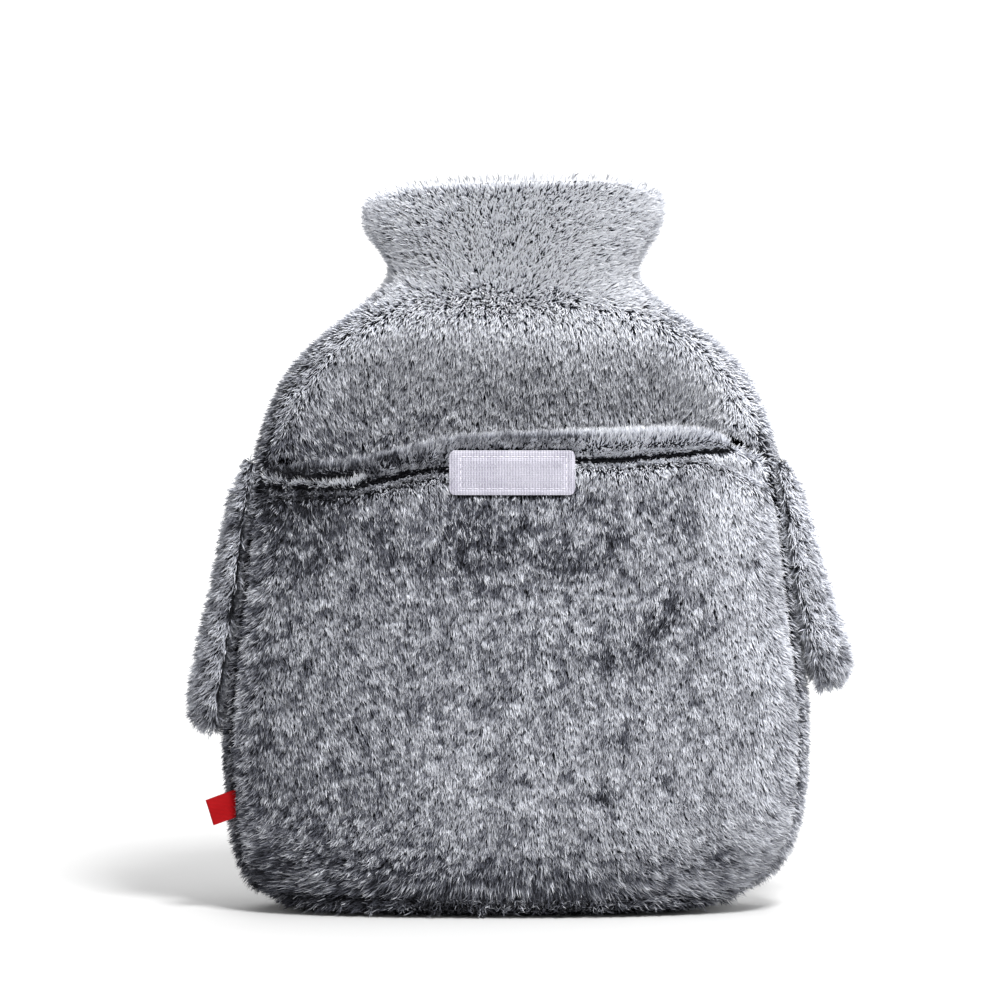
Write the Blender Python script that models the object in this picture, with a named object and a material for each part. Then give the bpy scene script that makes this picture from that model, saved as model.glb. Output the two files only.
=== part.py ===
"""Plush cover for a hot water bottle, standing open at the slit across its back.

The back, with the slit and the pocket, looks along -Y; +X is to its right there and +Z is up. The
origin is on the floor, under the middle of the cover. Each panel is one thick sheet, the cloth and
the pile that lies on it, out to the pile's tips. All sizes below are in millimetres, and
make_object() turns them into metres.

A point on the cover is found by its station, which runs from the base (0) up to the collar's rim and
counts the rows of SECTIONS, and by its angle round the section: 0 is the right side, 90 degrees the
middle of the back and 180 degrees the left side.
"""

from collections import namedtuple

import bmesh
import bpy
import numpy as np

METRES_PER_MM = 0.001

# The outline from the back and the reach to the back and front, at the tips of the pile.
Section = namedtuple("Section", "height half_width shift back front")
SECTIONS = (
    Section(0.0, 78.0, -7.0, 23.0, 29.0),
    Section(1.5, 88.0, -6.5, 28.0, 34.0),
    Section(4.0, 97.0, -6.0, 31.0, 37.5),
    Section(8.0, 106.0, -5.0, 33.5, 40.5),
    Section(14.0, 114.0, -4.0, 35.5, 43.0),
    Section(23.0, 122.0, -2.5, 37.5, 45.0),
    Section(36.0, 127.8, -0.5, 38.5, 46.5),
    Section(54.0, 131.8, 0.0, 39.0, 47.0),
    Section(80.0, 133.4, 0.0, 39.0, 47.0),
    Section(105.0, 132.0, 0.0, 38.5, 46.5),
    Section(130.0, 128.8, 0.0, 38.0, 45.5),
    Section(157.0, 125.6, 0.0, 37.5, 44.0),
    Section(184.0, 122.8, 0.0, 37.0, 42.5),
    Section(205.0, 119.2, 0.0, 36.0, 41.0),
    Section(223.0, 114.2, 0.3, 35.0, 39.5),
    Section(234.0, 110.0, 0.5, 34.0, 38.5),
    Section(244.0, 104.5, 0.5, 33.0, 37.0),
    Section(253.0, 97.5, 0.5, 31.5, 35.5),
    Section(262.0, 87.5, 0.0, 29.5, 33.0),
    Section(270.0, 76.0, -0.5, 27.5, 30.5),
    Section(278.0, 65.0, -1.0, 25.5, 27.5),
    Section(285.0, 57.0, -1.0, 24.0, 25.0),
    Section(291.0, 55.5, -1.0, 23.0, 23.5),
    Section(298.0, 58.5, -1.0, 23.5, 24.0),
    Section(306.0, 63.5, -1.0, 24.5, 25.0),
    Section(314.0, 67.0, -1.0, 26.0, 26.5),
    Section(322.0, 68.5, -1.0, 27.0, 27.5),
    Section(329.0, 68.0, -1.0, 27.0, 27.5),
    Section(333.0, 66.0, -1.0, 26.5, 27.0),
)
SQUARENESS = 2.5  # exponent of each section: 2 is an ellipse, more is boxier
SEAM_Y = -3.0  # where a section is widest
RIGHT_SEAM = np.radians(13.0)  # the side seams lie on the back, just inside the outline
LEFT_SEAM = np.pi - RIGHT_SEAM
BOTTOM_SEAM_STATION = 3.0
WALL = 9.0  # cloth and pile together
LEAST_WALL = 3.0  # at a rounded edge
BASE_PRESS = 3.0  # how much thinner the pile is that the cover stands on
BASE_PRESS_UNTIL = 4.0  # the station where it is full again
SEAM_GAP = 0.8  # between two panels that meet at a seam
SEAM_FIRM = 2.0  # the cloth lies firm so close to a seam, and looser further in
LOOSE_RAMP = 14.0
RIM_LOOSE_RAMP = 20.0

# How the pile rolls in at an edge.
SEAM_DROP = 4.5
SEAM_ROUNDING = 7.0
RIM_DROP = 3.2
RIM_ROUNDING = 5.0

# The collar leans a little and its corners are rounded.
COLLAR_FOOT = 290.0
COLLAR_RISE = 40.0
COLLAR_TILT = 0.028
COLLAR_CORNER_DROP = 6.5

# The top of the pocket's turned hem, from the left seam to the right one.
HemPoint = namedtuple("HemPoint", "x height")
HEM = (
    HemPoint(-114.0, 205.0),
    HemPoint(-94.0, 206.5),
    HemPoint(-76.0, 208.5),
    HemPoint(-58.0, 212.5),
    HemPoint(-38.0, 217.0),
    HemPoint(-10.0, 219.5),
    HemPoint(20.0, 220.5),
    HemPoint(50.0, 221.5),
    HemPoint(75.0, 222.5),
    HemPoint(95.0, 221.0),
    HemPoint(114.0, 210.0),
)
HEM_BAND = 12.5  # from the hem's top down to its stitching
HEM_EXTRA = 4.0  # the turned-in cloth on the inside
HEM_DROP = 4.6
HEM_ROUNDING = 6.0
STITCH_DROP = 3.2
STITCH_WIDTH = 2.6
STITCH_DEEPER = 0.5  # the stitching draws in more at its ends, by this share
STITCH_DEEPER_FROM = 85.0
STITCH_DEEPER_RAMP = 20.0
TURNED_RAMP = 4.0  # over which the turned-in cloth ends
POCKET_PUSH = 3.0  # how far the open hem stands out
POCKET_PUSH_FROM = 120.0
POCKET_TOP_STATION = 15.0  # above the hem at every x

# The panel above the slit is pushed in behind the hem.
RECESS = 32.0
RECESS_RAMP = 46.0
RECESS_FULL_BELOW = 213.0
RECESS_NONE_ABOVE = 288.0
TUCK = 20.0  # how far it reaches down behind the hem
TUCK_CLEARANCE = 3.0
TUCK_STARTS = 14.0
TUCK_RAMP = 14.0
BENT_FROM_SEAM = 30.0  # over which the wall's thickness turns to the bent cloth's own direction

# The tape on the hem, and the bed that it presses into the pile.
STRIP_LEFT = -30.0
STRIP_RIGHT = 26.5
STRIP_BOTTOM = 192.0
STRIP_TOP = 212.0
STRIP_CORNER = 2.6
STRIP_THICKNESS = 1.6
STRIP_CLEARANCE = 0.5
STRIP_STEP = 6.5
STRIP_ROWS = 5
STRIP_CORNER_STEPS = 4
BED_DROP = 3.6
BED_MARGIN = 1.5
BED_SLOPE = 5.0

# Soft troughs in the pocket panel, turned from the level by so many degrees.
Fold = namedtuple("Fold", "x height half_length half_width turn depth")
FOLDS = (
    Fold(44.0, 58.0, 9.0, 6.0, 20.0, 2.6),
    Fold(67.0, 117.0, 24.0, 8.0, 60.0, 2.4),
    Fold(4.0, 168.0, 38.0, 17.0, 0.0, 2.2),
    Fold(98.0, 160.0, 30.0, 9.0, 80.0, 2.2),
    Fold(-92.0, 172.0, 28.0, 10.0, 100.0, 1.6),
    Fold(84.0, 38.0, 26.0, 8.0, 35.0, 1.8),
    Fold(-60.0, 40.0, 40.0, 9.0, -8.0, 1.4),
)
LUMP_HEIGHT = 0.7
LUMP_FINE_SHARE = 0.6
LUMP_PITCHES = (17.0, 23.0, 12.0, 14.0)
LUMP_PHASES = (1.3, 0.4)
FRONT_LUMPS_ABOVE = 12.0  # the front is uneven too, but not at its foot or round the sides
FRONT_LUMPS_RAMP = 30.0
FRONT_LUMPS_BEHIND = 25.0
FRONT_LUMPS_DEPTH = 12.0

Arm = namedtuple("Arm", "name side root tip width thickness stand_off")
ARMS = (
    Arm("arm_left", -1, 205.0, 84.0, 46.0, 13.5, 3.0),
    Arm("arm_right", 1, 205.0, 103.5, 46.0, 17.0, 6.5),
)
ARM_ROOT_WIDTH = 14.0
ARM_ROOT_THICKNESS = 5.0
ARM_EDGE = 1.5
ARM_ROUNDING = 15.0
ARM_CLEARANCE = 0.45
ARM_FROM_SEAM = 1.0
ARM_SLANT = 8.0
ARM_FULL_WIDTH_AT = 0.6
ARM_TIP_FROM = 0.8
ARM_TIP_NARROWING = 0.75
ARM_REACH = np.radians(-75.0)  # the angle that no arm's far edge passes
ARM_ACROSS = (0.0, 0.03, 0.09, 0.18, 0.3, 0.44, 0.58, 0.72, 0.84, 0.93, 0.98, 1.0)
ARM_DOWN = (0.0, 0.02, 0.06, 0.13, 0.22, 0.32, 0.43, 0.54, 0.65, 0.75, 0.84, 0.91, 0.96, 0.99, 1.0)

# The folded ribbon in the left side seam.
LABEL_HEIGHT = 49.5
LABEL_LENGTH = 12.8
LABEL_WIDTH = 12.0
LABEL_LAYER = 0.6
LABEL_OPENING = 0.5
LABEL_ROOT_DROP = 3.2
LABEL_DIRECTION = (-0.955, -0.295)
LABEL_FALL = 0.32
FOLD_STEPS = 5

# Where the rows and columns of the panels' meshes run.
EDGE_STEPS = (0.0, 1.3, 3.5, 7.0, 12.0, 19.0)
BACK_STEP = 10.5
FRONT_STEP = 13.0
REFERENCE_STATION = 13.0
HEM_ROWS = (0.0, 1.5, 4.0, 7.5, 10.0, 12.5, 15.5, 20.0, 24.5, 28.5)
POCKET_FOOT_ROWS = (8.0, 9.2, 11.5, 15.0, 21.0, 30.0, 42.0)
POCKET_ROW_STEP = 15.0
TUCK_ROWS = (0.0, 2.0, 5.0, 9.0, 14.0, 21.0)
UPPER_STATIONS = (17.0, 18.0, 19.0, 20.0, 21.0, 22.0, 23.0, 24.0, 25.0, 26.0, 27.0, 27.6, 28.0)
UPPER_ROW_STEP = 10.0
BASE_RINGS = (0.35, 0.7)
BASE_STATIONS = (0.0, 1.0, 1.8, 2.5, 3.0)
FRONT_STATIONS = (3.5, 4.0, 4.6, 5.4, 6.2, 7.0, 7.8, 8.6, 9.4, 10.2, 11.0, 12.0, 13.0, 14.0, 15.0, 16.0)
DERIVATIVE_STEP = 0.02
CURVE_SAMPLES = 720
SEAM_SAMPLES = 120
SHARP_ANGLE = np.radians(50.0)


def remove_everything():
    for old in list(bpy.data.objects):
        bpy.data.objects.remove(old)


def smooth(value):
    """0 up to 0, 1 from 1 on, and an S-curve between."""
    value = np.clip(value, 0.0, 1.0)
    return value * value * (3.0 - 2.0 * value)


def signed_power(value, exponent):
    return np.sign(value) * np.abs(value) ** exponent


def unit(vectors):
    return vectors / np.maximum(np.linalg.norm(vectors, axis=-1, keepdims=True), 1e-9)


def along(table, position):
    """The table's columns on a smooth curve through its rows; 1.5 is halfway between rows 1 and 2."""
    rows = np.array(table, float)
    before = 2.0 * rows[0] - rows[1]
    after = 2.0 * rows[-1] - rows[-2]
    rows = np.vstack([before, rows, after])
    position = np.asarray(position, float)
    start = np.clip(np.floor(position).astype(int), 0, len(table) - 2)
    part = (position - start)[..., None]
    p0, p1, p2, p3 = (rows[start + k] for k in range(4))
    bend = 2.0 * p0 - 5.0 * p1 + 4.0 * p2 - p3
    twist = -p0 + 3.0 * p1 - 3.0 * p2 + p3
    return 0.5 * (2.0 * p1 + part * (p2 - p0) + part**2 * bend + part**3 * twist)


def station_at(height):
    """The station at this height on the wall."""
    stations = np.linspace(0.0, len(SECTIONS) - 1.0, CURVE_SAMPLES)
    return np.interp(height, along(SECTIONS, stations)[:, 0], stations)


def hem_top(x):
    """Height of the pocket hem's upper edge above this x."""
    position = np.interp(x, [p.x for p in HEM], np.arange(len(HEM)))
    return along(HEM, position)[..., 1]


def outward(reach_change, height_change):
    """The direction out of the wall, as its level and upright parts."""
    length = np.maximum(np.hypot(reach_change, height_change), 1e-9)
    return height_change / length, -reach_change / length


def shell(station, angle):
    """The outer and inner points of the plain cover, before anything presses on it."""
    station, angle = np.broadcast_arrays(station, angle)
    height, half_width, shift, back, front = np.moveaxis(along(SECTIONS, station), -1, 0)
    above = along(SECTIONS, station + DERIVATIVE_STEP)
    below = along(SECTIONS, station - DERIVATIVE_STEP)
    change = np.moveaxis(above - below, -1, 0)
    cosine, sine = np.cos(angle), np.sin(angle)
    reach = np.where(sine > 0, back, front)
    reach_change = np.where(sine > 0, change[3], change[4])
    side_out, side_up = outward(change[1], change[0])
    reach_out, reach_up = outward(reach_change, change[0])
    wall = WALL - BASE_PRESS * (1.0 - smooth(station / BASE_PRESS_UNTIL))
    across = signed_power(cosine, 2.0 / SQUARENESS)
    behind = signed_power(sine, 2.0 / SQUARENESS)
    rise = side_up * cosine**2 + reach_up * sine**2
    outer_y = SEAM_Y - reach * behind
    inner_y = SEAM_Y - (reach - wall * reach_out) * behind
    outer = np.stack([shift + half_width * across, outer_y, height], -1)
    inner_x = shift + (half_width - wall * side_out) * across
    inner = np.stack([inner_x, inner_y, height - wall * rise], -1)
    collar = smooth((height - COLLAR_FOOT) / COLLAR_RISE)
    lift = collar * (COLLAR_TILT * outer[..., 0] - COLLAR_CORNER_DROP * cosine**6)
    outer[..., 2] += lift
    inner[..., 2] += lift
    return outer, inner


def back_angles(xs):
    """The angle of each x across the back, at the height of the slit."""
    angles = np.linspace(RIGHT_SEAM, LEFT_SEAM, CURVE_SAMPLES)
    outer, _ = shell(REFERENCE_STATION, angles)
    return np.interp(xs, outer[::-1, 0], angles[::-1])


def seam_x():
    """How far each side seam is from the middle, at the height of the slit."""
    return shell(REFERENCE_STATION, RIGHT_SEAM)[0][..., 0]


def spaced(start, end, step):
    """Even steps from start to end, both included, of about this length."""
    return np.linspace(start, end, max(2, round(abs(end - start) / step) + 1))


def polyline_distance(points, line):
    """Each point's distance to the nearest place on a polyline."""
    starts, ends = line[:-1], line[1:]
    spans = ends - starts
    lengths = np.maximum((spans**2).sum(-1), 1e-9)
    flat = points.reshape(-1, 3)
    part = ((flat[:, None] - starts) * spans).sum(-1) / lengths
    nearest = starts + np.clip(part, 0.0, 1.0)[..., None] * spans
    away = np.linalg.norm(flat[:, None] - nearest, axis=-1).min(1)
    return away.reshape(points.shape[:-1])


def rolled(distance, rounding):
    """How much of its drop a rounded edge has at this distance from it: all at 0."""
    part = 1.0 - np.clip(distance / rounding, 0.0, 1.0)
    return 1.0 - np.sqrt(1.0 - part**2)


def lumps(points):
    """The pile's soft unevenness, in and out."""
    x, height = points[..., 0], points[..., 2]
    long_x, long_z, short_x, short_z = LUMP_PITCHES
    broad = np.sin(x / long_x + LUMP_PHASES[0]) * np.sin(height / long_z + LUMP_PHASES[1])
    fine = np.sin(x / short_x + height / short_z) * np.sin(x / long_x - height / short_x)
    return LUMP_HEIGHT * (broad + LUMP_FINE_SHARE * fine)


def fold_depth(points):
    """How deep the pocket panel's soft troughs are at these points."""
    depth = np.zeros(points.shape[:-1])
    for fold in FOLDS:
        turn = np.radians(fold.turn)
        x, height = points[..., 0] - fold.x, points[..., 2] - fold.height
        lengthwise = x * np.cos(turn) + height * np.sin(turn)
        sideways = height * np.cos(turn) - x * np.sin(turn)
        away = (lengthwise / fold.half_length) ** 2 + (sideways / fold.half_width) ** 2
        depth += fold.depth * np.exp(-away)
    return depth


def bed_share(points):
    """1 under the tape, falling to 0 round it."""
    x, height = points[..., 0], points[..., 2]
    left = STRIP_LEFT - BED_MARGIN - x
    right = x - STRIP_RIGHT - BED_MARGIN
    over = height - STRIP_TOP - BED_MARGIN
    under = STRIP_BOTTOM - BED_MARGIN - height
    outside = np.maximum(np.maximum(left, right), np.maximum(over, under))
    return 1.0 - smooth(outside / BED_SLOPE)


def from_side_seam(angle):
    """0 at the side seams, 1 from RECESS_RAMP inside them."""
    x = shell(REFERENCE_STATION, angle)[0][..., 0]
    return smooth((seam_x() - np.abs(x)) / RECESS_RAMP)


def pocket_push(station, angle):
    height = along(SECTIONS, station)[..., 0]
    ramp = smooth((height - POCKET_PUSH_FROM) / (STRIP_TOP - POCKET_PUSH_FROM))
    return POCKET_PUSH * ramp * from_side_seam(angle)


def pressed(outer, inner, drop, rise):
    """The two surfaces moved towards each other by drop and, as far as the wall allows, by rise."""
    inwards = unit(inner - outer)
    thickness = np.linalg.norm(inner - outer, axis=-1)
    rise = np.minimum(rise, thickness - LEAST_WALL - drop)
    return outer + inwards * drop[..., None], inner - inwards * rise[..., None]


def facing(grid):
    """The direction that each point of a panel's outer surface looks in."""
    return unit(np.cross(np.gradient(grid, axis=1), np.gradient(grid, axis=0)))


def ease(grid, index, towards):
    """Moves one row of the grid half a seam's gap towards its neighbour."""
    grid[index] = grid[index] + unit(grid[towards] - grid[index]) * SEAM_GAP / 2.0


def side_seam(angle, first, last):
    """The cover's outer line along a side seam, between two stations."""
    return shell(np.linspace(first, last, SEAM_SAMPLES), angle)[0]


def bottom_seam():
    return shell(BOTTOM_SEAM_STATION, np.linspace(RIGHT_SEAM, LEFT_SEAM, SEAM_SAMPLES))[0]


def nearest_line(points, lines):
    """Each point's distance to the nearest of several lines."""
    return np.min([polyline_distance(points, line) for line in lines], axis=0)


def looseness(seam_distance, rim_distance):
    """0 where the cloth is held, at seams and rims, and 1 well inside them."""
    return smooth((seam_distance - SEAM_FIRM) / LOOSE_RAMP) * smooth(rim_distance / RIM_LOOSE_RAMP)


def pocket_surface(station, angle, hem_distance):
    """The pocket panel's outer and inner points, with all that presses on it."""
    outer, inner = shell(station, angle)
    push = pocket_push(station, angle)
    outer[..., 1] -= push
    inner[..., 1] -= push
    seams = [side_seam(a, BOTTOM_SEAM_STATION, POCKET_TOP_STATION) for a in (RIGHT_SEAM, LEFT_SEAM)]
    seam_distance = nearest_line(outer, [bottom_seam(), *seams])
    bed = bed_share(outer)
    x = np.abs(outer[..., 0])
    deeper = 1.0 + STITCH_DEEPER * smooth((x - STITCH_DEEPER_FROM) / STITCH_DEEPER_RAMP)
    stitched = np.exp(-(((hem_distance - HEM_BAND) / STITCH_WIDTH) ** 2)) * (1.0 - bed)
    loose = looseness(seam_distance, hem_distance) * (1.0 - bed)
    drop = SEAM_DROP * rolled(seam_distance, SEAM_ROUNDING)
    drop = np.maximum(drop, HEM_DROP * rolled(hem_distance, HEM_ROUNDING))
    drop = np.maximum(drop, STITCH_DROP * deeper * stitched)
    drop = np.maximum(drop, BED_DROP * bed)
    drop += loose * (fold_depth(outer) + lumps(outer))
    turned = 1.0 - smooth((hem_distance - HEM_BAND) / TURNED_RAMP)
    rise = HEM_DROP * rolled(hem_distance, HEM_ROUNDING) - HEM_EXTRA * turned
    return pressed(outer, inner, drop, rise)


def back_columns(with_strip):
    """x of each column across the back, closer together at the seams and round the tape."""
    reach = seam_x()
    left = [-reach + step for step in EDGE_STEPS]
    right = [reach - step for step in EDGE_STEPS][::-1]
    if not with_strip:
        return np.array(left[:-1] + list(spaced(left[-1], right[0], BACK_STEP)) + right[1:])
    beside = BED_MARGIN + BED_SLOPE
    middle = list(spaced(left[-1], STRIP_LEFT - beside, BACK_STEP))
    middle += [STRIP_LEFT - BED_MARGIN]
    middle += list(spaced(STRIP_LEFT + BACK_STEP, STRIP_RIGHT - BACK_STEP, BACK_STEP))
    middle += [STRIP_RIGHT + BED_MARGIN]
    middle += list(spaced(STRIP_RIGHT + beside, right[0], BACK_STEP))
    return np.array(left[:-1] + middle + right[1:])


def back_lower_panel():
    """The pocket, from the bottom seam up to its turned hem."""
    xs = back_columns(with_strip=True)
    angles = back_angles(xs)
    top = hem_top(xs)
    rows = [np.full(len(xs), height) for height in POCKET_FOOT_ROWS]
    band_foot = top - HEM_ROWS[-1]
    count = round((band_foot.mean() - POCKET_FOOT_ROWS[-1]) / POCKET_ROW_STEP)
    for k in range(1, count):
        rows.append(POCKET_FOOT_ROWS[-1] + (band_foot - POCKET_FOOT_ROWS[-1]) * k / count)
    rows += [top - distance for distance in HEM_ROWS[::-1]]
    heights = np.array(rows)
    outer, inner = pocket_surface(station_at(heights), angles[None, :], top - heights)
    for grid in (outer, inner):
        ease(grid, 0, 1)
        ease(grid, (slice(None), 0), (slice(None), 1))
        ease(grid, (slice(None), -1), (slice(None), -2))
    return grid_solid("back_lower_panel", outer, inner, FUR_MID)


def tucked_edge(xs):
    """Height of the upper panel's lower edge: above the hem at the seams, behind it between them."""
    inside = seam_x() - np.abs(xs) - TUCK_STARTS
    return hem_top(xs) + TUCK_CLEARANCE - (TUCK + TUCK_CLEARANCE) * smooth(inside / TUCK_RAMP)


def back_upper_panel():
    """The panel from behind the hem over the shoulders to the collar's rim."""
    xs = back_columns(with_strip=False)
    angles = back_angles(xs)
    edge = tucked_edge(xs)
    rows = [edge + step for step in TUCK_ROWS]
    start = edge + TUCK_ROWS[-1]
    end = along(SECTIONS, UPPER_STATIONS[0])[0]
    count = round((end - start.mean()) / UPPER_ROW_STEP)
    rows += [start + (end - start) * k / count for k in range(1, count)]
    stations = np.vstack([station_at(np.array(rows))] + [np.full(len(xs), s) for s in UPPER_STATIONS])
    outer, inner = shell(stations, angles[None, :])
    height = outer[..., 2]
    fade = 1.0 - smooth((height - RECESS_FULL_BELOW) / (RECESS_NONE_ABOVE - RECESS_FULL_BELOW))
    recess = RECESS * fade * from_side_seam(angles)[None, :]
    through = inner - outer
    outer[..., 1] += recess
    last = len(SECTIONS) - 1.0
    first_left, first_right = station_at(edge[[0, -1]])
    seams = [side_seam(LEFT_SEAM, first_left, last), side_seam(RIGHT_SEAM, first_right, last)]
    seam_distance = nearest_line(outer, seams)
    rim_distance = nearest_line(outer, [outer[0], outer[-1]])
    rim = RIM_DROP * rolled(rim_distance, RIM_ROUNDING)
    drop = np.maximum(SEAM_DROP * rolled(seam_distance, SEAM_ROUNDING), rim)
    loose = looseness(seam_distance, rim_distance)
    bent = smooth(seam_distance / BENT_FROM_SEAM)[..., None]
    inner = outer + through * (1.0 - bent) - facing(outer) * WALL * bent
    outer, inner = pressed(outer, inner, drop + loose * lumps(outer), rim)
    for grid in (outer, inner):
        ease(grid, (slice(None), 0), (slice(None), 1))
        ease(grid, (slice(None), -1), (slice(None), -2))
    return grid_solid("back_upper_panel", outer, inner, FUR_LIGHT)


def front_angles():
    """Angles from the right side seam round the front to the left one, evenly spaced on the cloth."""
    angles = np.linspace(RIGHT_SEAM, LEFT_SEAM - 2.0 * np.pi, 2 * CURVE_SAMPLES)
    travelled = travelled_along(shell(REFERENCE_STATION, angles)[0])
    edge = list(EDGE_STEPS[:-1])
    middle = list(spaced(EDGE_STEPS[-1], travelled[-1] - EDGE_STEPS[-1], FRONT_STEP))
    places = edge + middle + [travelled[-1] - step for step in edge[::-1]]
    return np.interp(places, travelled, angles)


def front_panel():
    """The front, the sides and the flat base, in one piece of cloth up to the bottom seam."""
    front = front_angles()
    back = back_angles(back_columns(with_strip=False)[::2])[1:-1]
    round_angles = np.concatenate([front, back])
    last_front = len(front)
    stations = np.array(BASE_STATIONS + FRONT_STATIONS + UPPER_STATIONS)
    walls = [shell(station, round_angles) for station in stations]
    outer = np.array([wall[0] for wall in walls])
    inner = np.array([wall[1] for wall in walls])
    seam_row = len(BASE_STATIONS) - 1
    seams = [side_seam(a, BOTTOM_SEAM_STATION, len(SECTIONS) - 1.0) for a in (RIGHT_SEAM, LEFT_SEAM)]
    seam_distance = nearest_line(outer, [bottom_seam(), *seams])
    rim_distance = polyline_distance(outer, outer[-1, :last_front])
    rim = RIM_DROP * rolled(rim_distance, RIM_ROUNDING)
    drop = np.maximum(SEAM_DROP * rolled(seam_distance, SEAM_ROUNDING), rim)
    loose = looseness(seam_distance, rim_distance)
    loose *= smooth((outer[..., 2] - FRONT_LUMPS_ABOVE) / FRONT_LUMPS_RAMP)
    loose *= smooth((outer[..., 1] - SEAM_Y - FRONT_LUMPS_BEHIND) / FRONT_LUMPS_DEPTH)
    outer, inner = pressed(outer, inner, drop + loose * lumps(outer), rim)
    outer[: seam_row + 1, :, 2] = np.maximum(outer[: seam_row + 1, :, 2], 0.0)
    right, left = 0, last_front - 1
    behind = list(range(last_front, len(round_angles)))
    for grid in (outer, inner):
        seam = grid[seam_row].copy()
        ease(grid, (slice(seam_row, None), right), (slice(seam_row, None), right + 1))
        ease(grid, (slice(seam_row, None), left), (slice(seam_row, None), left - 1))
        under = unit(grid[seam_row - 1] - seam) * SEAM_GAP / 2.0
        columns = behind + [right, left]
        grid[seam_row, columns] += under[columns]
    return closed_front(outer, inner, seam_row, last_front)


def closed_front(outer, inner, seam_row, last_front):
    """Joins the wall's rows to the base's rings and its middle."""
    rows, columns = outer.shape[:2]
    rings_out, rings_in = [], []
    for share in BASE_RINGS:
        for rings, grid in ((rings_out, outer), (rings_in, inner)):
            middle = grid[0].mean(0)
            rings.append(middle + (grid[0] - middle) * share)
    all_outer = np.concatenate([outer[0].mean(0)[None], *rings_out, outer.reshape(-1, 3)])
    all_inner = np.concatenate([inner[0].mean(0)[None], *rings_in, inner.reshape(-1, 3)])
    total_rows = rows + len(BASE_RINGS)

    def index(row, column):
        return 1 + row * columns + column % columns

    cells = [(0, index(0, c + 1), index(0, c)) for c in range(columns)]
    for row in range(total_rows - 1):
        closed = row < seam_row + len(BASE_RINGS)
        for column in range(columns if closed else last_front - 1):
            lower = (index(row, column), index(row, column + 1))
            upper = (index(row + 1, column + 1), index(row + 1, column))
            cells.append(lower + upper)
    used = sorted({corner for cell in cells for corner in cell})
    renumbered = {old: new for new, old in enumerate(used)}
    cells = [tuple(renumbered[corner] for corner in cell) for cell in cells]
    return sheet_solid("front_panel", all_outer[used], all_inner[used], cells, FUR_DARK)


def closure_strip():
    """The tape sewn over the hem, following the bed it presses into the pile."""
    ends = STRIP_CORNER * (1.0 - np.cos(np.linspace(0.0, np.pi / 2.0, STRIP_CORNER_STEPS)))
    middle = spaced(STRIP_LEFT + STRIP_CORNER, STRIP_RIGHT - STRIP_CORNER, STRIP_STEP)[1:-1]
    xs = np.concatenate([STRIP_LEFT + ends, middle, (STRIP_RIGHT - ends)[::-1]])
    inset = np.minimum(xs - STRIP_LEFT, STRIP_RIGHT - xs)
    part = 1.0 - np.clip(inset / STRIP_CORNER, 0.0, 1.0)
    cut = STRIP_CORNER * (1.0 - np.sqrt(1.0 - part**2))
    rows = np.linspace(0.0, 1.0, STRIP_ROWS)[:, None]
    heights = STRIP_BOTTOM + cut + (STRIP_TOP - STRIP_BOTTOM - 2.0 * cut) * rows
    stations = station_at(heights)
    angles = back_angles(np.tile(xs, (STRIP_ROWS, 1)))
    bed, under = pocket_surface(stations, angles, hem_top(xs)[None, :] - heights)
    outwards = unit(bed - under)
    bed[..., 0] = xs
    bed[..., 2] = heights
    inner = bed + outwards * STRIP_CLEARANCE
    outer = bed + outwards * (STRIP_CLEARANCE + STRIP_THICKNESS)
    return grid_solid("closure_strip", outer, inner, TAPE_WHITE)


def travelled_along(line):
    """How far it is from the line's start to each of its points."""
    steps = np.linalg.norm(np.diff(line, axis=0), axis=-1)
    return np.concatenate([[0.0], np.cumsum(steps)])


def arm(spec):
    """A padded flipper that hangs from the shoulder along the body's side."""
    inner = np.zeros((len(ARM_DOWN), len(ARM_ACROSS), 3))
    outwards = np.zeros_like(inner)
    sweep = np.linspace(RIGHT_SEAM, ARM_REACH, CURVE_SAMPLES)
    for row, share in enumerate(ARM_DOWN):
        narrowing = ARM_TIP_NARROWING * max(0.0, (share - ARM_TIP_FROM) / (1.0 - ARM_TIP_FROM)) ** 2
        width = ARM_ROOT_WIDTH + (spec.width - ARM_ROOT_WIDTH) * smooth(share / ARM_FULL_WIDTH_AT)
        inset = width * (1.0 - np.sqrt(1.0 - narrowing)) / 2.0
        width -= 2.0 * inset
        for column, place in enumerate(ARM_ACROSS):
            height = spec.root + (spec.tip - spec.root) * share + ARM_SLANT * (place - 0.5) * share
            station = station_at(height)
            travelled = travelled_along(shell(station, sweep)[0])
            angle = np.interp(ARM_FROM_SEAM + inset + width * place, travelled, sweep)
            if spec.side < 0:
                angle = np.pi - angle
            wall_out, wall_in = shell(station, angle)
            outwards[row, column] = unit(wall_out - wall_in)
            gap = ARM_CLEARANCE + spec.stand_off * share**2
            inner[row, column] = wall_out + outwards[row, column] * gap
    outline = np.concatenate([inner[0], inner[1:, -1], inner[-1, -2::-1], inner[-2::-1, 0]])
    distance = polyline_distance(inner, outline)
    down = np.array(ARM_DOWN)[:, None]
    full = ARM_ROOT_THICKNESS + (spec.thickness - ARM_ROOT_THICKNESS) * down
    plump = ARM_EDGE + (full - ARM_EDGE) * (1.0 - rolled(distance, ARM_ROUNDING))
    outer = inner + outwards * plump[..., None]
    if spec.side < 0:
        outer, inner = outer[:, ::-1], inner[:, ::-1]
    return grid_solid(spec.name, outer[::-1], inner[::-1], FUR_MID)


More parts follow.
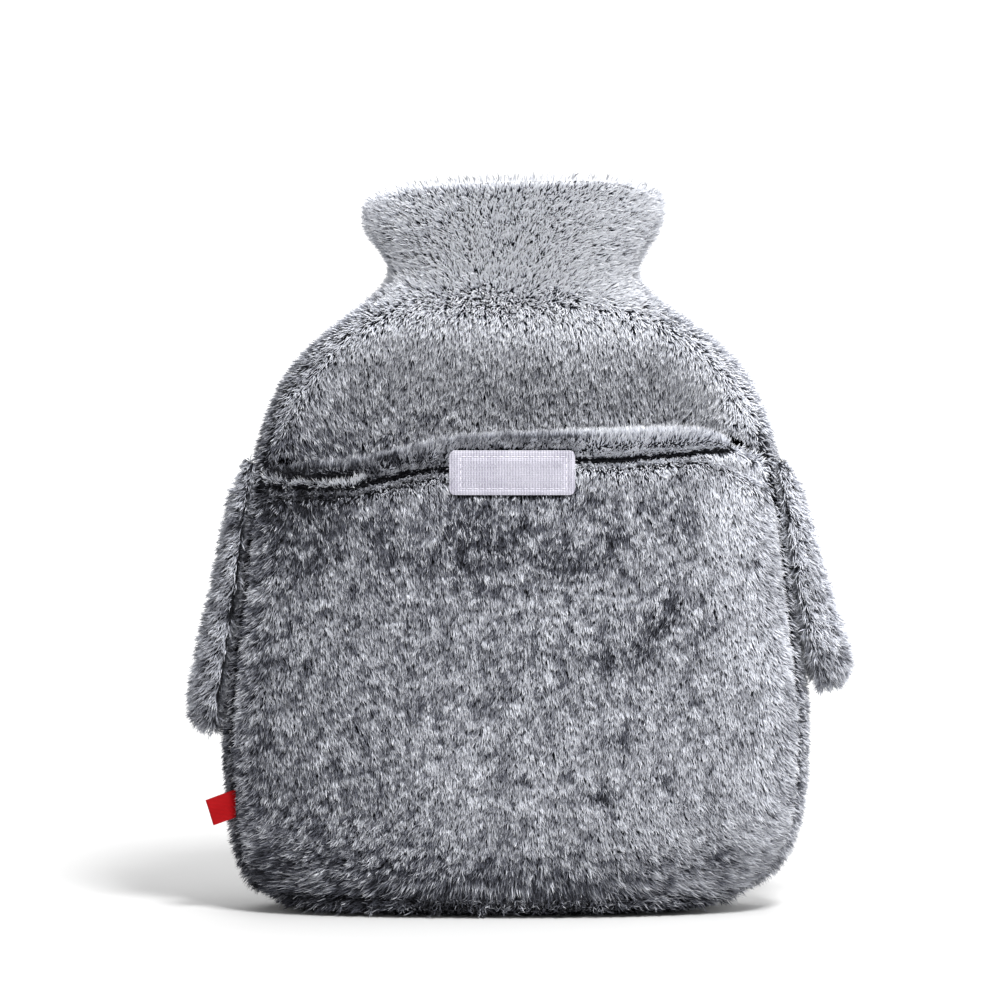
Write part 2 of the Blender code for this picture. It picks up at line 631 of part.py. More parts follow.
def label_tab():
    """The folded ribbon: two layers joined by the fold at their outer end."""
    station = station_at(LABEL_HEIGHT)
    wall_out, wall_in = shell(station, LEFT_SEAM)
    root = wall_out + unit(wall_in - wall_out) * (SEAM_DROP - LABEL_ROOT_DROP)
    level = np.array([*LABEL_DIRECTION, 0.0])
    out = unit(level - np.array([0.0, 0.0, LABEL_FALL]))
    side = unit(np.cross([0.0, 0.0, 1.0], out))
    up = np.cross(out, side)
    slant = -np.dot(up, level) / np.dot(out, level)
    edges = (-LABEL_WIDTH / 2.0, LABEL_WIDTH / 2.0)
    around = np.array([label_loop(w, w * slant, LABEL_OPENING / 2.0 + LABEL_LAYER) for w in edges])
    within = np.array([label_loop(w, w * slant, LABEL_OPENING / 2.0) for w in edges])
    axes = np.array([out, side, up])
    return grid_solid("label_tab", root + around @ axes, root + within @ axes, RIBBON_RED)


def label_loop(level, start, half):
    """One edge of the ribbon: out from its root in the seam, round the fold and back."""
    turns = np.linspace(-np.pi / 2.0, np.pi / 2.0, FOLD_STEPS)
    end = LABEL_LENGTH - LABEL_LAYER - LABEL_OPENING / 2.0
    fold = [(end + half * np.cos(turn), half * np.sin(turn), level) for turn in turns]
    return [(start, -half, level), *fold, (start, half, level)]


def grid_solid(name, outer, inner, finish):
    """A closed solid from two grids of points, row by row upwards and column by column to the right."""
    rows, columns = outer.shape[:2]
    cells = []
    for row in range(rows - 1):
        for column in range(columns - 1):
            start = row * columns + column
            cells.append((start, start + 1, start + columns + 1, start + columns))
    return sheet_solid(name, outer.reshape(-1, 3), inner.reshape(-1, 3), cells, finish)


def sheet_solid(name, outer, inner, cells, finish):
    """A closed solid from matching outer and inner points. The cells face outwards."""
    count = len(outer)
    faces = list(cells)
    faces += [tuple(corner + count for corner in reversed(cell)) for cell in cells]
    edges = {(cell[k], cell[(k + 1) % len(cell)]) for cell in cells for k in range(len(cell))}
    for start, end in sorted(edges):
        if (end, start) not in edges:
            faces.append((end, start, start + count, end + count))
    return make_object(name, np.concatenate([outer, inner]), faces, finish)


def make_object(name, points, faces, finish):
    """The named object, in metres, with its own material."""
    shape = bmesh.new()
    corners = [shape.verts.new(point * METRES_PER_MM) for point in points]
    for face in faces:
        shape.faces.new([corners[k] for k in face])
    bmesh.ops.triangulate(shape, faces=shape.faces[:], quad_method="SHORT_EDGE")
    mesh = bpy.data.meshes.new(name)
    shape.to_mesh(mesh)
    shape.free()
    mesh.shade_smooth()
    mesh.set_sharp_from_angle(angle=SHARP_ANGLE)
    mesh.materials.append(principled(name, finish))
    made = bpy.data.objects.new(name, mesh)
    bpy.context.scene.collection.objects.link(made)
    return made


Finish = namedtuple("Finish", "colour roughness metallic")
FUR_DARK = Finish((0.16, 0.165, 0.185), 0.95, 0.0)
FUR_MID = Finish((0.20, 0.205, 0.225), 0.95, 0.0)
FUR_LIGHT = Finish((0.30, 0.31, 0.33), 0.95, 0.0)
TAPE_WHITE = Finish((0.78, 0.76, 0.84), 0.7, 0.0)
RIBBON_RED = Finish((0.55, 0.01, 0.02), 0.6, 0.0)


def principled(name, finish):
    material = bpy.data.materials.new(name)
    material.use_nodes = True
    shader = material.node_tree.nodes["Principled BSDF"]
    shader.inputs["Base Color"].default_value = (*finish.colour, 1.0)
    shader.inputs["Roughness"].default_value = finish.roughness
    shader.inputs["Metallic"].default_value = finish.metallic
    return material


remove_everything()
front_panel()
back_lower_panel()
back_upper_panel()
closure_strip()
for spec in ARMS:
    arm(spec)
label_tab()
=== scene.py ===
"""Looks of a plush cover for a hot water bottle, built round its solids.

The cover stands with its back, where the slit and the pocket are, towards -Y. Each fur panel is a knitted
backing sheet on the inside of its solid, and the pile that grows on it out to the solid's outer surface.
Lengths are in metres, and tables whose columns are in millimetres say so.
"""

import logging
import math
from dataclasses import dataclass
from enum import Enum

import bmesh
import bpy
import numpy as np
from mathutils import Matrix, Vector
from mathutils.bvhtree import BVHTree


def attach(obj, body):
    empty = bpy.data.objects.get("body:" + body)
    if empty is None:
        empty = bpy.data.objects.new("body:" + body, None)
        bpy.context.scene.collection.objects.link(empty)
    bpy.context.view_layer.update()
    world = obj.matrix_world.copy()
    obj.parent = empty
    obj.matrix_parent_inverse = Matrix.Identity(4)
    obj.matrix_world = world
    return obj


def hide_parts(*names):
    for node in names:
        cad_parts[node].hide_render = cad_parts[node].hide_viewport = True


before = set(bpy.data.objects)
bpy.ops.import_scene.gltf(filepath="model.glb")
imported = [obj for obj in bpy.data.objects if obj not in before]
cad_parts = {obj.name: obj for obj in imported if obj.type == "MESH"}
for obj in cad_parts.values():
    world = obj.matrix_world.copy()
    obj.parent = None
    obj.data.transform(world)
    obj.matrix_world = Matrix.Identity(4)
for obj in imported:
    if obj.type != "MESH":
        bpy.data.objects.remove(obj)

MM = 0.001
BODY = "root"
SEED = 7
LOG = logging.getLogger("cover")

Tree = bpy.types.NodeTree
Socket = bpy.types.NodeSocket
Line = tuple[tuple[float, float], ...]


class Slot(Enum):
    """The material slots."""

    FUR = "plush_fur"
    TAPE = "fastener_tape"
    RIBBON = "red_ribbon"


class Hold(Enum):
    """How a sheet of cloth is held."""

    STRETCHED = "stretched"
    FOLDED = "folded"
    LAID = "laid"


def linear(code: str) -> tuple[float, float, float, float]:
    """Turns a colour from sRGB hex to linear light.

    Args:
        code: six hex digits after a hash sign.

    Returns:
        Red, green, blue and an alpha of 1.
    """
    parts = [int(code[k : k + 2], 16) / 255 for k in (1, 3, 5)]
    lit = [p / 12.92 if p <= 0.04045 else ((p + 0.055) / 1.055) ** 2.4 for p in parts]
    return (*lit, 1.0)


def add(tree: Tree, kind: str, inputs: dict | None = None, **settings) -> bpy.types.Node:
    """Adds a node to a tree.

    Args:
        tree: the shader or geometry tree.
        kind: the node's type.
        inputs: for each input's name or number, a socket to link or a value to set.
        **settings: the node's own settings.

    Returns:
        The new node.
    """
    node = tree.nodes.new(kind)
    for name, value in settings.items():
        setattr(node, name, value)
    for name, value in (inputs or {}).items():
        if isinstance(value, bpy.types.NodeSocket):
            tree.links.new(value, node.inputs[name])
        else:
            node.inputs[name].default_value = value
    return node


def calc(tree: Tree, operation: str, *values: Socket | float) -> Socket:
    """Adds a Math node, and gives its result."""
    return add(tree, "ShaderNodeMath", dict(enumerate(values)), operation=operation).outputs[0]


def vector_calc(tree: Tree, operation: str, first: Socket, second: Socket | tuple) -> Socket:
    """Adds a Vector Math node, and gives its result. SCALE takes a number as the second value."""
    inputs = {0: first, "Scale" if operation == "SCALE" else 1: second}
    return add(tree, "ShaderNodeVectorMath", inputs, operation=operation).outputs[0]


def remap(
    tree: Tree,
    value: Socket,
    source: tuple[float, float],
    target: tuple[float, float] = (0.0, 1.0),
    **settings,
) -> Socket:
    """Adds a Map Range node.

    Args:
        tree: the shader or geometry tree.
        value: what it maps.
        source: the value's range.
        target: the result's range.
        **settings: the node's own settings.

    Returns:
        Its result.
    """
    ranges = {"From Min": source[0], "From Max": source[1], "To Min": target[0], "To Max": target[1]}
    return add(tree, "ShaderNodeMapRange", {"Value": value, **ranges}, **settings).outputs[0]


def split(tree: Tree, place: Socket) -> list[Socket]:
    """Adds a node that takes a vector apart, and gives its X, Y and Z."""
    return list(add(tree, "ShaderNodeSeparateXYZ", {"Vector": place}).outputs)


def smooth(value: np.ndarray) -> np.ndarray:
    """0 up to 0, 1 from 1 on, and an S-curve between."""
    value = np.clip(value, 0.0, 1.0)
    return value * value * (3.0 - 2.0 * value)


def ramp(value: np.ndarray, start: float | np.ndarray, end: float | np.ndarray) -> np.ndarray:
    """0 on the start's side, 1 on the end's side, and an S-curve between. The end may be the lower one."""
    return smooth((value - start) / (end - start))


def unit(vectors: np.ndarray) -> np.ndarray:
    """The vectors at a length of 1."""
    return vectors / np.maximum(np.linalg.norm(vectors, axis=-1, keepdims=True), 1e-9)


def line_distance(x: np.ndarray, z: np.ndarray, line: Line) -> np.ndarray:
    """The distance of points to a line of straight runs, as seen from the back.

    Args:
        x: the points' x.
        z: the points' height.
        line: the line's corners, as x and height.

    Returns:
        The distance of each point, in the same unit.
    """
    nearest = np.full(x.shape, np.inf)
    for (x0, z0), (x1, z1) in zip(line, line[1:]):
        length = (x1 - x0) ** 2 + (z1 - z0) ** 2
        part = np.clip(((x - x0) * (x1 - x0) + (z - z0) * (z1 - z0)) / length, 0.0, 1.0)
        away = np.hypot(x - x0 - part * (x1 - x0), z - z0 - part * (z1 - z0))
        nearest = np.minimum(nearest, away)
    return nearest


# Finishes


def own_place(tree: Tree) -> Socket:
    """Adds the coordinates of the object itself."""
    return add(tree, "ShaderNodeTexCoord").outputs["Object"]


def wave(tree: Tree, along: Socket, pitch_mm: float) -> Socket:
    """Adds a sine wave along a coordinate."""
    return calc(tree, "SINE", calc(tree, "MULTIPLY", along, 2 * math.pi / (pitch_mm * MM)))


def noise(tree: Tree, where: Socket, size_mm: float, detail: float = 2.0) -> Socket:
    """Adds noise in spots of about this size."""
    inputs = {"Vector": where, "Scale": 1 / (size_mm * MM), "Detail": detail}
    return add(tree, "ShaderNodeTexNoise", inputs).outputs["Fac"]


def tint(
    tree: Tree, shader: bpy.types.Node, share: Socket, low: Socket | tuple, high: Socket | tuple
) -> None:
    """Colours a shader: from the low colour where the share is 0 to the high one where it is 1."""
    mixed = add(tree, "ShaderNodeMix", {0: share, 6: low, 7: high}, data_type="RGBA")
    tree.links.new(mixed.outputs[2], shader.inputs["Base Color"])


def emboss(
    tree: Tree, shader: bpy.types.Node, height: Socket, depth_mm: float, strength: float = 1.0
) -> None:
    """Gives a shader a relief of this depth."""
    relief = add(tree, "ShaderNodeBump", {"Height": height, "Distance": depth_mm * MM, "Strength": strength})
    tree.links.new(relief.outputs["Normal"], shader.inputs["Normal"])


@dataclass(frozen=True)
class Finish:
    """What all finishes share.

    Attributes:
        name: the material's name.
        roughness: of the Principled shader.
        specular: its specular level.
        sheen: its sheen weight.
    """

    name: str
    roughness: float
    specular: float = 0.5
    sheen: float = 0.0

    def material(self) -> bpy.types.Material:
        """Makes the material."""
        made = bpy.data.materials.new(self.name)
        made.use_nodes = True
        shader = made.node_tree.nodes["Principled BSDF"]
        shader.inputs["Roughness"].default_value = self.roughness
        shader.inputs["Specular IOR Level"].default_value = self.specular
        shader.inputs["Sheen Weight"].default_value = self.sheen
        self.dress(made.node_tree, shader)
        return made

    def dress(self, tree: Tree, shader: bpy.types.Node) -> None:
        """Adds this finish's own colour and relief to its shader."""
        raise NotImplementedError


@dataclass(frozen=True)
class FrostedPile(Finish):
    """Acrylic pile fibre, dyed dark at the root and bleached at the tip.

    The colour is read from the blades' own map: from root to tip across it, and from a dark fibre to a
    frosted one up it.

    Attributes:
        dark: places along a dark fibre, from 0 to 1, and the colour at each.
        frosted: the same along a frosted fibre.
    """

    dark: tuple[tuple[float, str], ...] = ()
    frosted: tuple[tuple[float, str], ...] = ()

    def dress(self, tree: Tree, shader: bpy.types.Node) -> None:
        """Adds the two fibres' colours, mixed by the map."""
        along, frost_and_painted_light, _ = split(tree, add(tree, "ShaderNodeUVMap", uv_map="OFBake").outputs["UV"])
        colours = []
        for stops in (self.dark, self.frosted):
            band = add(tree, "ShaderNodeValToRGB", {"Fac": along})
            while len(band.color_ramp.elements) < len(stops):
                band.color_ramp.elements.new(1.0)
            for element, (place, code) in zip(band.color_ramp.elements, stops):
                element.position = place
                element.color = linear(code)
            colours.append(band.outputs["Color"])
        # Up the map: the pile's own frosting, and the light and shade painted into its tone.
        tint(tree, shader, frost_and_painted_light, *colours)


@dataclass(frozen=True)
class KnitBacking(Finish):
    """Warp-knitted polyester ground of the fur cloth, in ribs of loops.

    Attributes:
        yarn: colour of the loops.
        gap: colour between them.
        wale_mm: from rib to rib.
        course_mm: from loop to loop.
        relief_mm: from the gaps up to the loops.
    """

    yarn: str = "#2b2c32"
    gap: str = "#0e0f12"
    wale_mm: float = 1.3
    course_mm: float = 1.0
    relief_mm: float = 0.3

    def dress(self, tree: Tree, shader: bpy.types.Node) -> None:
        """Adds the loops, where the two waves cross."""
        x, y, z = split(tree, own_place(tree))
        ribs = wave(tree, calc(tree, "ADD", x, y), self.wale_mm)
        height = remap(tree, calc(tree, "ADD", ribs, wave(tree, z, self.course_mm)), (-2.0, 2.0))
        tint(tree, shader, height, linear(self.gap), linear(self.yarn))
        emboss(tree, shader, height, self.relief_mm, 0.8)


@dataclass(frozen=True)
class WovenTape(Finish):
    """White nylon touch-fastener tape, with ribs across it.

    Attributes:
        colour: of the yarns' crowns.
        shade: between the yarns.
        rib_mm: from rib to rib, drawn coarser than the real 0.6 mm so that it shows.
        thread_mm: from crown to crown along a rib, drawn coarser than the real 0.4 mm.
        relief_mm: from the gaps up to the crowns.
        unevenness: the size, detail and weight of the noise in each yarn, and of broader uneven spots.
    """

    colour: str = "#bbb9c4"
    shade: str = "#918e9d"
    rib_mm: float = 1.25
    thread_mm: float = 0.9
    relief_mm: float = 0.15
    unevenness: tuple[tuple[float, float, float], ...] = ((1.3, 2.0, 0.9), (9.0, 1.0, 1.6))

    def dress(self, tree: Tree, shader: bpy.types.Node) -> None:
        """Adds the weave, made uneven by the noise."""
        where = own_place(tree)
        x, _, z = split(tree, where)
        crossing = calc(tree, "MULTIPLY", wave(tree, z, self.thread_mm), 0.45)
        weave = calc(tree, "ADD", wave(tree, x, self.rib_mm), crossing)
        share = remap(tree, weave, (-1.4, 0.5))
        for size_mm, detail, weight in self.unevenness:
            share = calc(tree, "MULTIPLY_ADD", noise(tree, where, size_mm, detail), weight, share)
        tint(tree, shader, remap(tree, share, (1.0, 2.2)), linear(self.shade), linear(self.colour))
        emboss(tree, shader, weave, self.relief_mm, 0.6)


@dataclass(frozen=True)
class HookNylon(Finish):
    """White nylon monofilament of the hooks.

    Attributes:
        clear: its colour where it is clearer.
        cloudy: its colour where it is cloudier.
        cloud_mm: the size of the cloudy spots.
    """

    clear: str = "#a6a4b2"
    cloudy: str = "#c2c0ca"
    cloud_mm: float = 0.8

    def dress(self, tree: Tree, shader: bpy.types.Node) -> None:
        """Adds the cloudy spots."""
        spots = noise(tree, own_place(tree), self.cloud_mm)
        tint(tree, shader, spots, linear(self.clear), linear(self.cloudy))


@dataclass(frozen=True)
class SatinRibbon(Finish):
    """Woven polyester satin ribbon, with ribs along it.

    Attributes:
        colour: of the yarns.
        shade: of the furrows between the ribs.
        rib_mm: from rib to rib.
        relief_mm: from the furrows up to the ribs.
    """

    colour: str = "#a0040c"
    shade: str = "#82040a"
    rib_mm: float = 0.6
    relief_mm: float = 0.06

    def dress(self, tree: Tree, shader: bpy.types.Node) -> None:
        """Adds the ribs."""
        ribs = wave(tree, split(tree, own_place(tree))[2], self.rib_mm)
        tint(tree, shader, remap(tree, ribs, (-1.0, 0.2)), linear(self.shade), linear(self.colour))
        emboss(tree, shader, ribs, self.relief_mm, 0.4)


@dataclass(frozen=True)
class SpunThread(Finish):
    """Spun polyester sewing thread.

    Attributes:
        colour: of the thread.
        ply_mm: from ply to ply.
        relief_mm: from the furrow up to a ply.
    """

    colour: str = "#d6d3de"
    ply_mm: float = 0.5
    relief_mm: float = 0.08

    def dress(self, tree: Tree, shader: bpy.types.Node) -> None:
        """Adds the plies' slanting ridges."""
        inputs = {"Vector": own_place(tree), "Scale": 0.3 / (self.ply_mm * MM)}
        plies = add(tree, "ShaderNodeTexWave", inputs, bands_direction="DIAGONAL")
        shader.inputs["Base Color"].default_value = linear(self.colour)
        emboss(tree, shader, plies.outputs["Fac"], self.relief_mm)


@dataclass(frozen=True)
class PaintedFloor(Finish):
    """Studio paint.

    Attributes:
        colour: of the paint.
    """

    colour: str = "#c2c2c2"

    def dress(self, tree: Tree, shader: bpy.types.Node) -> None:
        """Sets the paint's colour."""
        shader.inputs["Base Color"].default_value = linear(self.colour)


# Bleached acrylic tips over near-black roots: the pile looks frosted, and dark wherever it parts.
FROSTED_PILE = FrostedPile(
    "frosted_acrylic_pile",
    roughness=0.75,
    specular=0.15,
    sheen=0.06,
    dark=((0.0, "#0b0c0f"), (0.45, "#27282f"), (0.8, "#50525c"), (1.0, "#7e818d")),
    frosted=((0.0, "#1c1d22"), (0.3, "#62656f"), (0.6, "#c3c6d0"), (1.0, "#f1f2f5")),
)
# Dark matt polyester loops: fine ribs inside the collar, with no gloss.
KNIT_BACKING = KnitBacking("warp_knit_backing", roughness=0.95, specular=0.2)
# Nylon with optical brightener: white with a lilac cast, fine ribs and a faint gloss.
WOVEN_TAPE = WovenTape("woven_nylon_tape", roughness=0.6, specular=0.4)
# Long satin floats of polyester: a clear red with fine ribs and a soft gloss.
SATIN_RIBBON = SatinRibbon("red_satin_ribbon", roughness=0.55, specular=0.12)
# Cloudy monofilament: small bright glints that blur the tape's weave.
HOOK_NYLON = HookNylon("white_nylon_hooks", roughness=0.35)
# Spun polyester in two plies: matt, with fine slanting ridges.
WHITE_THREAD = SpunThread("white_spun_thread", roughness=0.8, specular=0.3)
# The same thread dyed to match the fur: it hardly shows in the hem's groove.
GREY_THREAD = SpunThread("grey_spun_thread", roughness=0.8, specular=0.3, colour="#3a3b42")
# Matt white paint: an even floor with a soft shadow and no reflection.
PAINTED_FLOOR = PaintedFloor("matt_floor_paint", roughness=0.9, specular=0.1)


# Meshes from the solids


def make_object(name: str, mesh: bpy.types.Mesh) -> bpy.types.Object:
    """A new object at the origin that shows this mesh."""
    made = bpy.data.objects.new(name, mesh)
    bpy.context.scene.collection.objects.link(made)
    return made


def evaluated(piece: bpy.types.Object) -> bpy.types.Mesh:
    """The piece's mesh with its modifiers applied."""
    depsgraph = bpy.context.evaluated_depsgraph_get()
    return bpy.data.meshes.new_from_object(piece.evaluated_get(depsgraph), depsgraph=depsgraph)


def welded(node: str, name: str, levels: int) -> bpy.types.Object:
    """A smooth copy of a solid, in faces of four sides.

    Args:
        node: the solid's name.
        name: the copy's name.
        levels: how often its faces are divided.

    Returns:
        The copy, with its modifiers applied.
    """
    shape = bmesh.new()
    shape.from_mesh(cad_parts[node].data)
    bmesh.ops.remove_doubles(shape, verts=shape.verts[:], dist=0.02 * MM)
    bend = math.radians(70.0)
    bmesh.ops.join_triangles(
        shape, faces=shape.faces[:], angle_face_threshold=bend, angle_shape_threshold=bend
    )
    bmesh.ops.recalc_face_normals(shape, faces=shape.faces[:])
    mesh = bpy.data.meshes.new(name)
    shape.to_mesh(mesh)
    shape.free()
    made = make_object(name, mesh)
    finer = made.modifiers.new("finer", "SUBSURF")
    finer.levels = finer.render_levels = levels
    made.data = evaluated(made)
    made.modifiers.clear()
    made.data.name = name
    made.data.shade_smooth()
    return made


def tree_of(mesh: bpy.types.Mesh) -> BVHTree:
    """A search tree of the mesh's faces."""
    return BVHTree.FromPolygons([v.co for v in mesh.vertices], [tuple(p.vertices) for p in mesh.polygons])


def places(mesh: bpy.types.Mesh) -> np.ndarray:
    """The mesh's points."""
    found = np.empty(len(mesh.vertices) * 3, np.float32)
    mesh.vertices.foreach_get("co", found)
    return found.reshape(-1, 3).astype(float)


def directions(mesh: bpy.types.Mesh) -> np.ndarray:
    """The mesh's normals at its points."""
    found = np.empty(len(mesh.vertices) * 3, np.float32)
    mesh.vertex_normals.foreach_get("vector", found)
    return found.reshape(-1, 3).astype(float)


def store(mesh: bpy.types.Mesh, name: str, values: np.ndarray, domain: str = "POINT") -> None:
    """Keeps values on the mesh under a name."""
    kinds = {2: ("FLOAT_VECTOR", "vector"), 1: ("FLOAT", "value")}
    kind, field = kinds[values.ndim]
    if values.dtype.kind == "i":
        kind = "INT"
    layer = mesh.attributes.new(name, kind, domain)
    layer.data.foreach_set(field, values.ravel())


def neighbours_mean(mesh: bpy.types.Mesh, values: np.ndarray, rounds: int) -> np.ndarray:
    """The values, evened out along the mesh's edges."""
    edges = np.empty(len(mesh.edges) * 2, np.int32)
    mesh.edges.foreach_get("vertices", edges)
    start, end = edges.reshape(-1, 2).T
    count = np.bincount(edges, minlength=len(values)).astype(float)
    count = count.reshape((-1,) + (1,) * (values.ndim - 1))
    for _ in range(rounds):
        total = np.zeros_like(values)
        np.add.at(total, start, values[end])
        np.add.at(total, end, values[start])
        values = (values + total / count) / 2.0
    return values


def wall_depth(mesh: bpy.types.Mesh, limit: float, missed: float) -> np.ndarray:
    """How deep a closed mesh is behind each of its points.

    Args:
        mesh: the closed mesh.
        limit: how far its other side is looked for.
        missed: the depth where none is found.

    Returns:
        The depth at each point.
    """
    whole = tree_of(mesh)
    found = np.full(len(mesh.vertices), missed)
    for k, (point, normal) in enumerate(zip(places(mesh), directions(mesh))):
        depth = whole.ray_cast(Vector(point - normal * 0.05 * MM), -Vector(normal), limit)[3]
        if depth is not None:
            found[k] = depth
    return found


def sink(mesh: bpy.types.Mesh, depth: np.ndarray) -> None:
    """Moves each of the mesh's points inwards by its depth."""
    moved = places(mesh) - directions(mesh) * depth[:, None]
    mesh.vertices.foreach_set("co", moved.astype(np.float32).ravel())
    mesh.update()


def hand_over(piece: bpy.types.Object) -> None:
    """Gives a finished piece its body and logs its faces."""
    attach(piece, BODY)
    LOG.info("%s: %d faces", piece.name, len(piece.data.polygons))


# Node trees that make pieces


class PieceTree:
    """A node tree that turns a mesh into a piece of many small parts.

    Attributes:
        NAME: the tree's name.
        SOCKETS: the kind of each of its inputs but the mesh, by name.
    """

    NAME = ""
    SOCKETS: dict[str, str] = {}

    def __init__(self) -> None:
        """Makes the tree with its inputs, its output and its nodes."""
        self.tree = bpy.data.node_groups.new(self.NAME, "GeometryNodeTree")
        face = self.tree.interface
        face.new_socket("Geometry", in_out="INPUT", socket_type="NodeSocketGeometry")
        self.names = {
            name: face.new_socket(name, in_out="INPUT", socket_type=f"NodeSocket{kind}").identifier
            for name, kind in self.SOCKETS.items()
        }
        face.new_socket("Geometry", in_out="OUTPUT", socket_type="NodeSocketGeometry")
        self.given = add(self.tree, "NodeGroupInput").outputs
        self.build()

    def build(self) -> None:
        """Adds the tree's own nodes."""
        raise NotImplementedError

    def attribute(self, name: str, kind: str = "FLOAT") -> Socket:
        """Adds a value that the mesh carries."""
        return add(self.tree, "GeometryNodeInputNamedAttribute", {"Name": name}, data_type=kind).outputs[0]

    def drawn(self, low: float, high: float, seed: int) -> Socket:
        """Adds a number drawn at random for each part."""
        inputs = {2: low, 3: high, "Seed": seed}
        return add(self.tree, "FunctionNodeRandomValue", inputs, data_type="FLOAT").outputs[1]

    def drawn_vector(self, seed: Socket | int) -> Socket:
        """Adds a vector drawn at random for each part, from -1 to 1 along each axis."""
        inputs = {0: (-1.0, -1.0, -1.0), 1: (1.0, 1.0, 1.0), "Seed": seed}
        return add(self.tree, "FunctionNodeRandomValue", inputs, data_type="FLOAT_VECTOR").outputs[0]

    def turned(self, along: Socket, out: Socket) -> Socket:
        """Adds the rotation that points a part's Z along one way, and its Y about along another."""
        inputs = {"Primary Axis": along, "Secondary Axis": out}
        axes = {"primary_axis": "Z", "secondary_axis": "Y"}
        return add(self.tree, "FunctionNodeAxesToRotation", inputs, **axes).outputs[0]

    def repeated(self, part: Socket, points: Socket, rotation: Socket, scale: Socket) -> Socket:
        """Adds a real copy of an object at each point."""
        instance = add(self.tree, "GeometryNodeObjectInfo", {"Object": part}).outputs["Geometry"]
        inputs = {"Points": points, "Instance": instance, "Rotation": rotation, "Scale": scale}
        laid = add(self.tree, "GeometryNodeInstanceOnPoints", inputs)
        return add(self.tree, "GeometryNodeRealizeInstances", {"Geometry": laid.outputs[0]}).outputs[0]

    def close(self, geometry: Socket, helpers: str) -> None:
        """Ends the tree: drops the values whose names fit a pattern, and sets the material."""
        inputs = {"Geometry": geometry, "Name": helpers}
        bare = add(self.tree, "GeometryNodeRemoveAttribute", inputs, pattern_mode="WILDCARD")
        inputs = {"Geometry": bare.outputs[0], "Material": self.given["Finish"]}
        dressed = add(self.tree, "GeometryNodeSetMaterial", inputs)
        add(self.tree, "NodeGroupOutput", {"Geometry": dressed.outputs[0]})

    def run(self, name: str, mesh: bpy.types.Mesh, values: dict) -> bpy.types.Object:
        """Runs the tree.

        Args:
            name: the new piece's name.
            mesh: the mesh that it starts from.
            values: a value for each of its inputs, by name.

        Returns:
            The piece as one plain mesh.
        """
        made = make_object(name, mesh)
        modifier = made.modifiers.new(self.NAME, "NODES")
        modifier.node_group = self.tree
        for key, value in values.items():
            modifier[self.names[key]] = value
        made.data = evaluated(made)
        made.modifiers.clear()
        made.data.name = name
        return made


# Pile


@dataclass(frozen=True)
class RuffleOrShading:
    """A place on the back where the pile was brushed another way, grew longer, or is drawn lighter or darker;
    most of the lighter and darker ones are painted light and shade. Sizes are in millimetres.

    Attributes:
        x: its place across the back.
        z: its height.
        reach: how far it spreads.
        tone: how much lighter, or darker below 0, it looks.
        flow: the x and height of the direction that the pile lies in.
        strength: how much of that direction it takes on.
        growth: how much longer it is.
    """

    x: float
    z: float
    reach: float
    tone: float
    flow: tuple[float, float] = (0.0, -1.0)
    strength: float = 0.0
    growth: float = 0.0


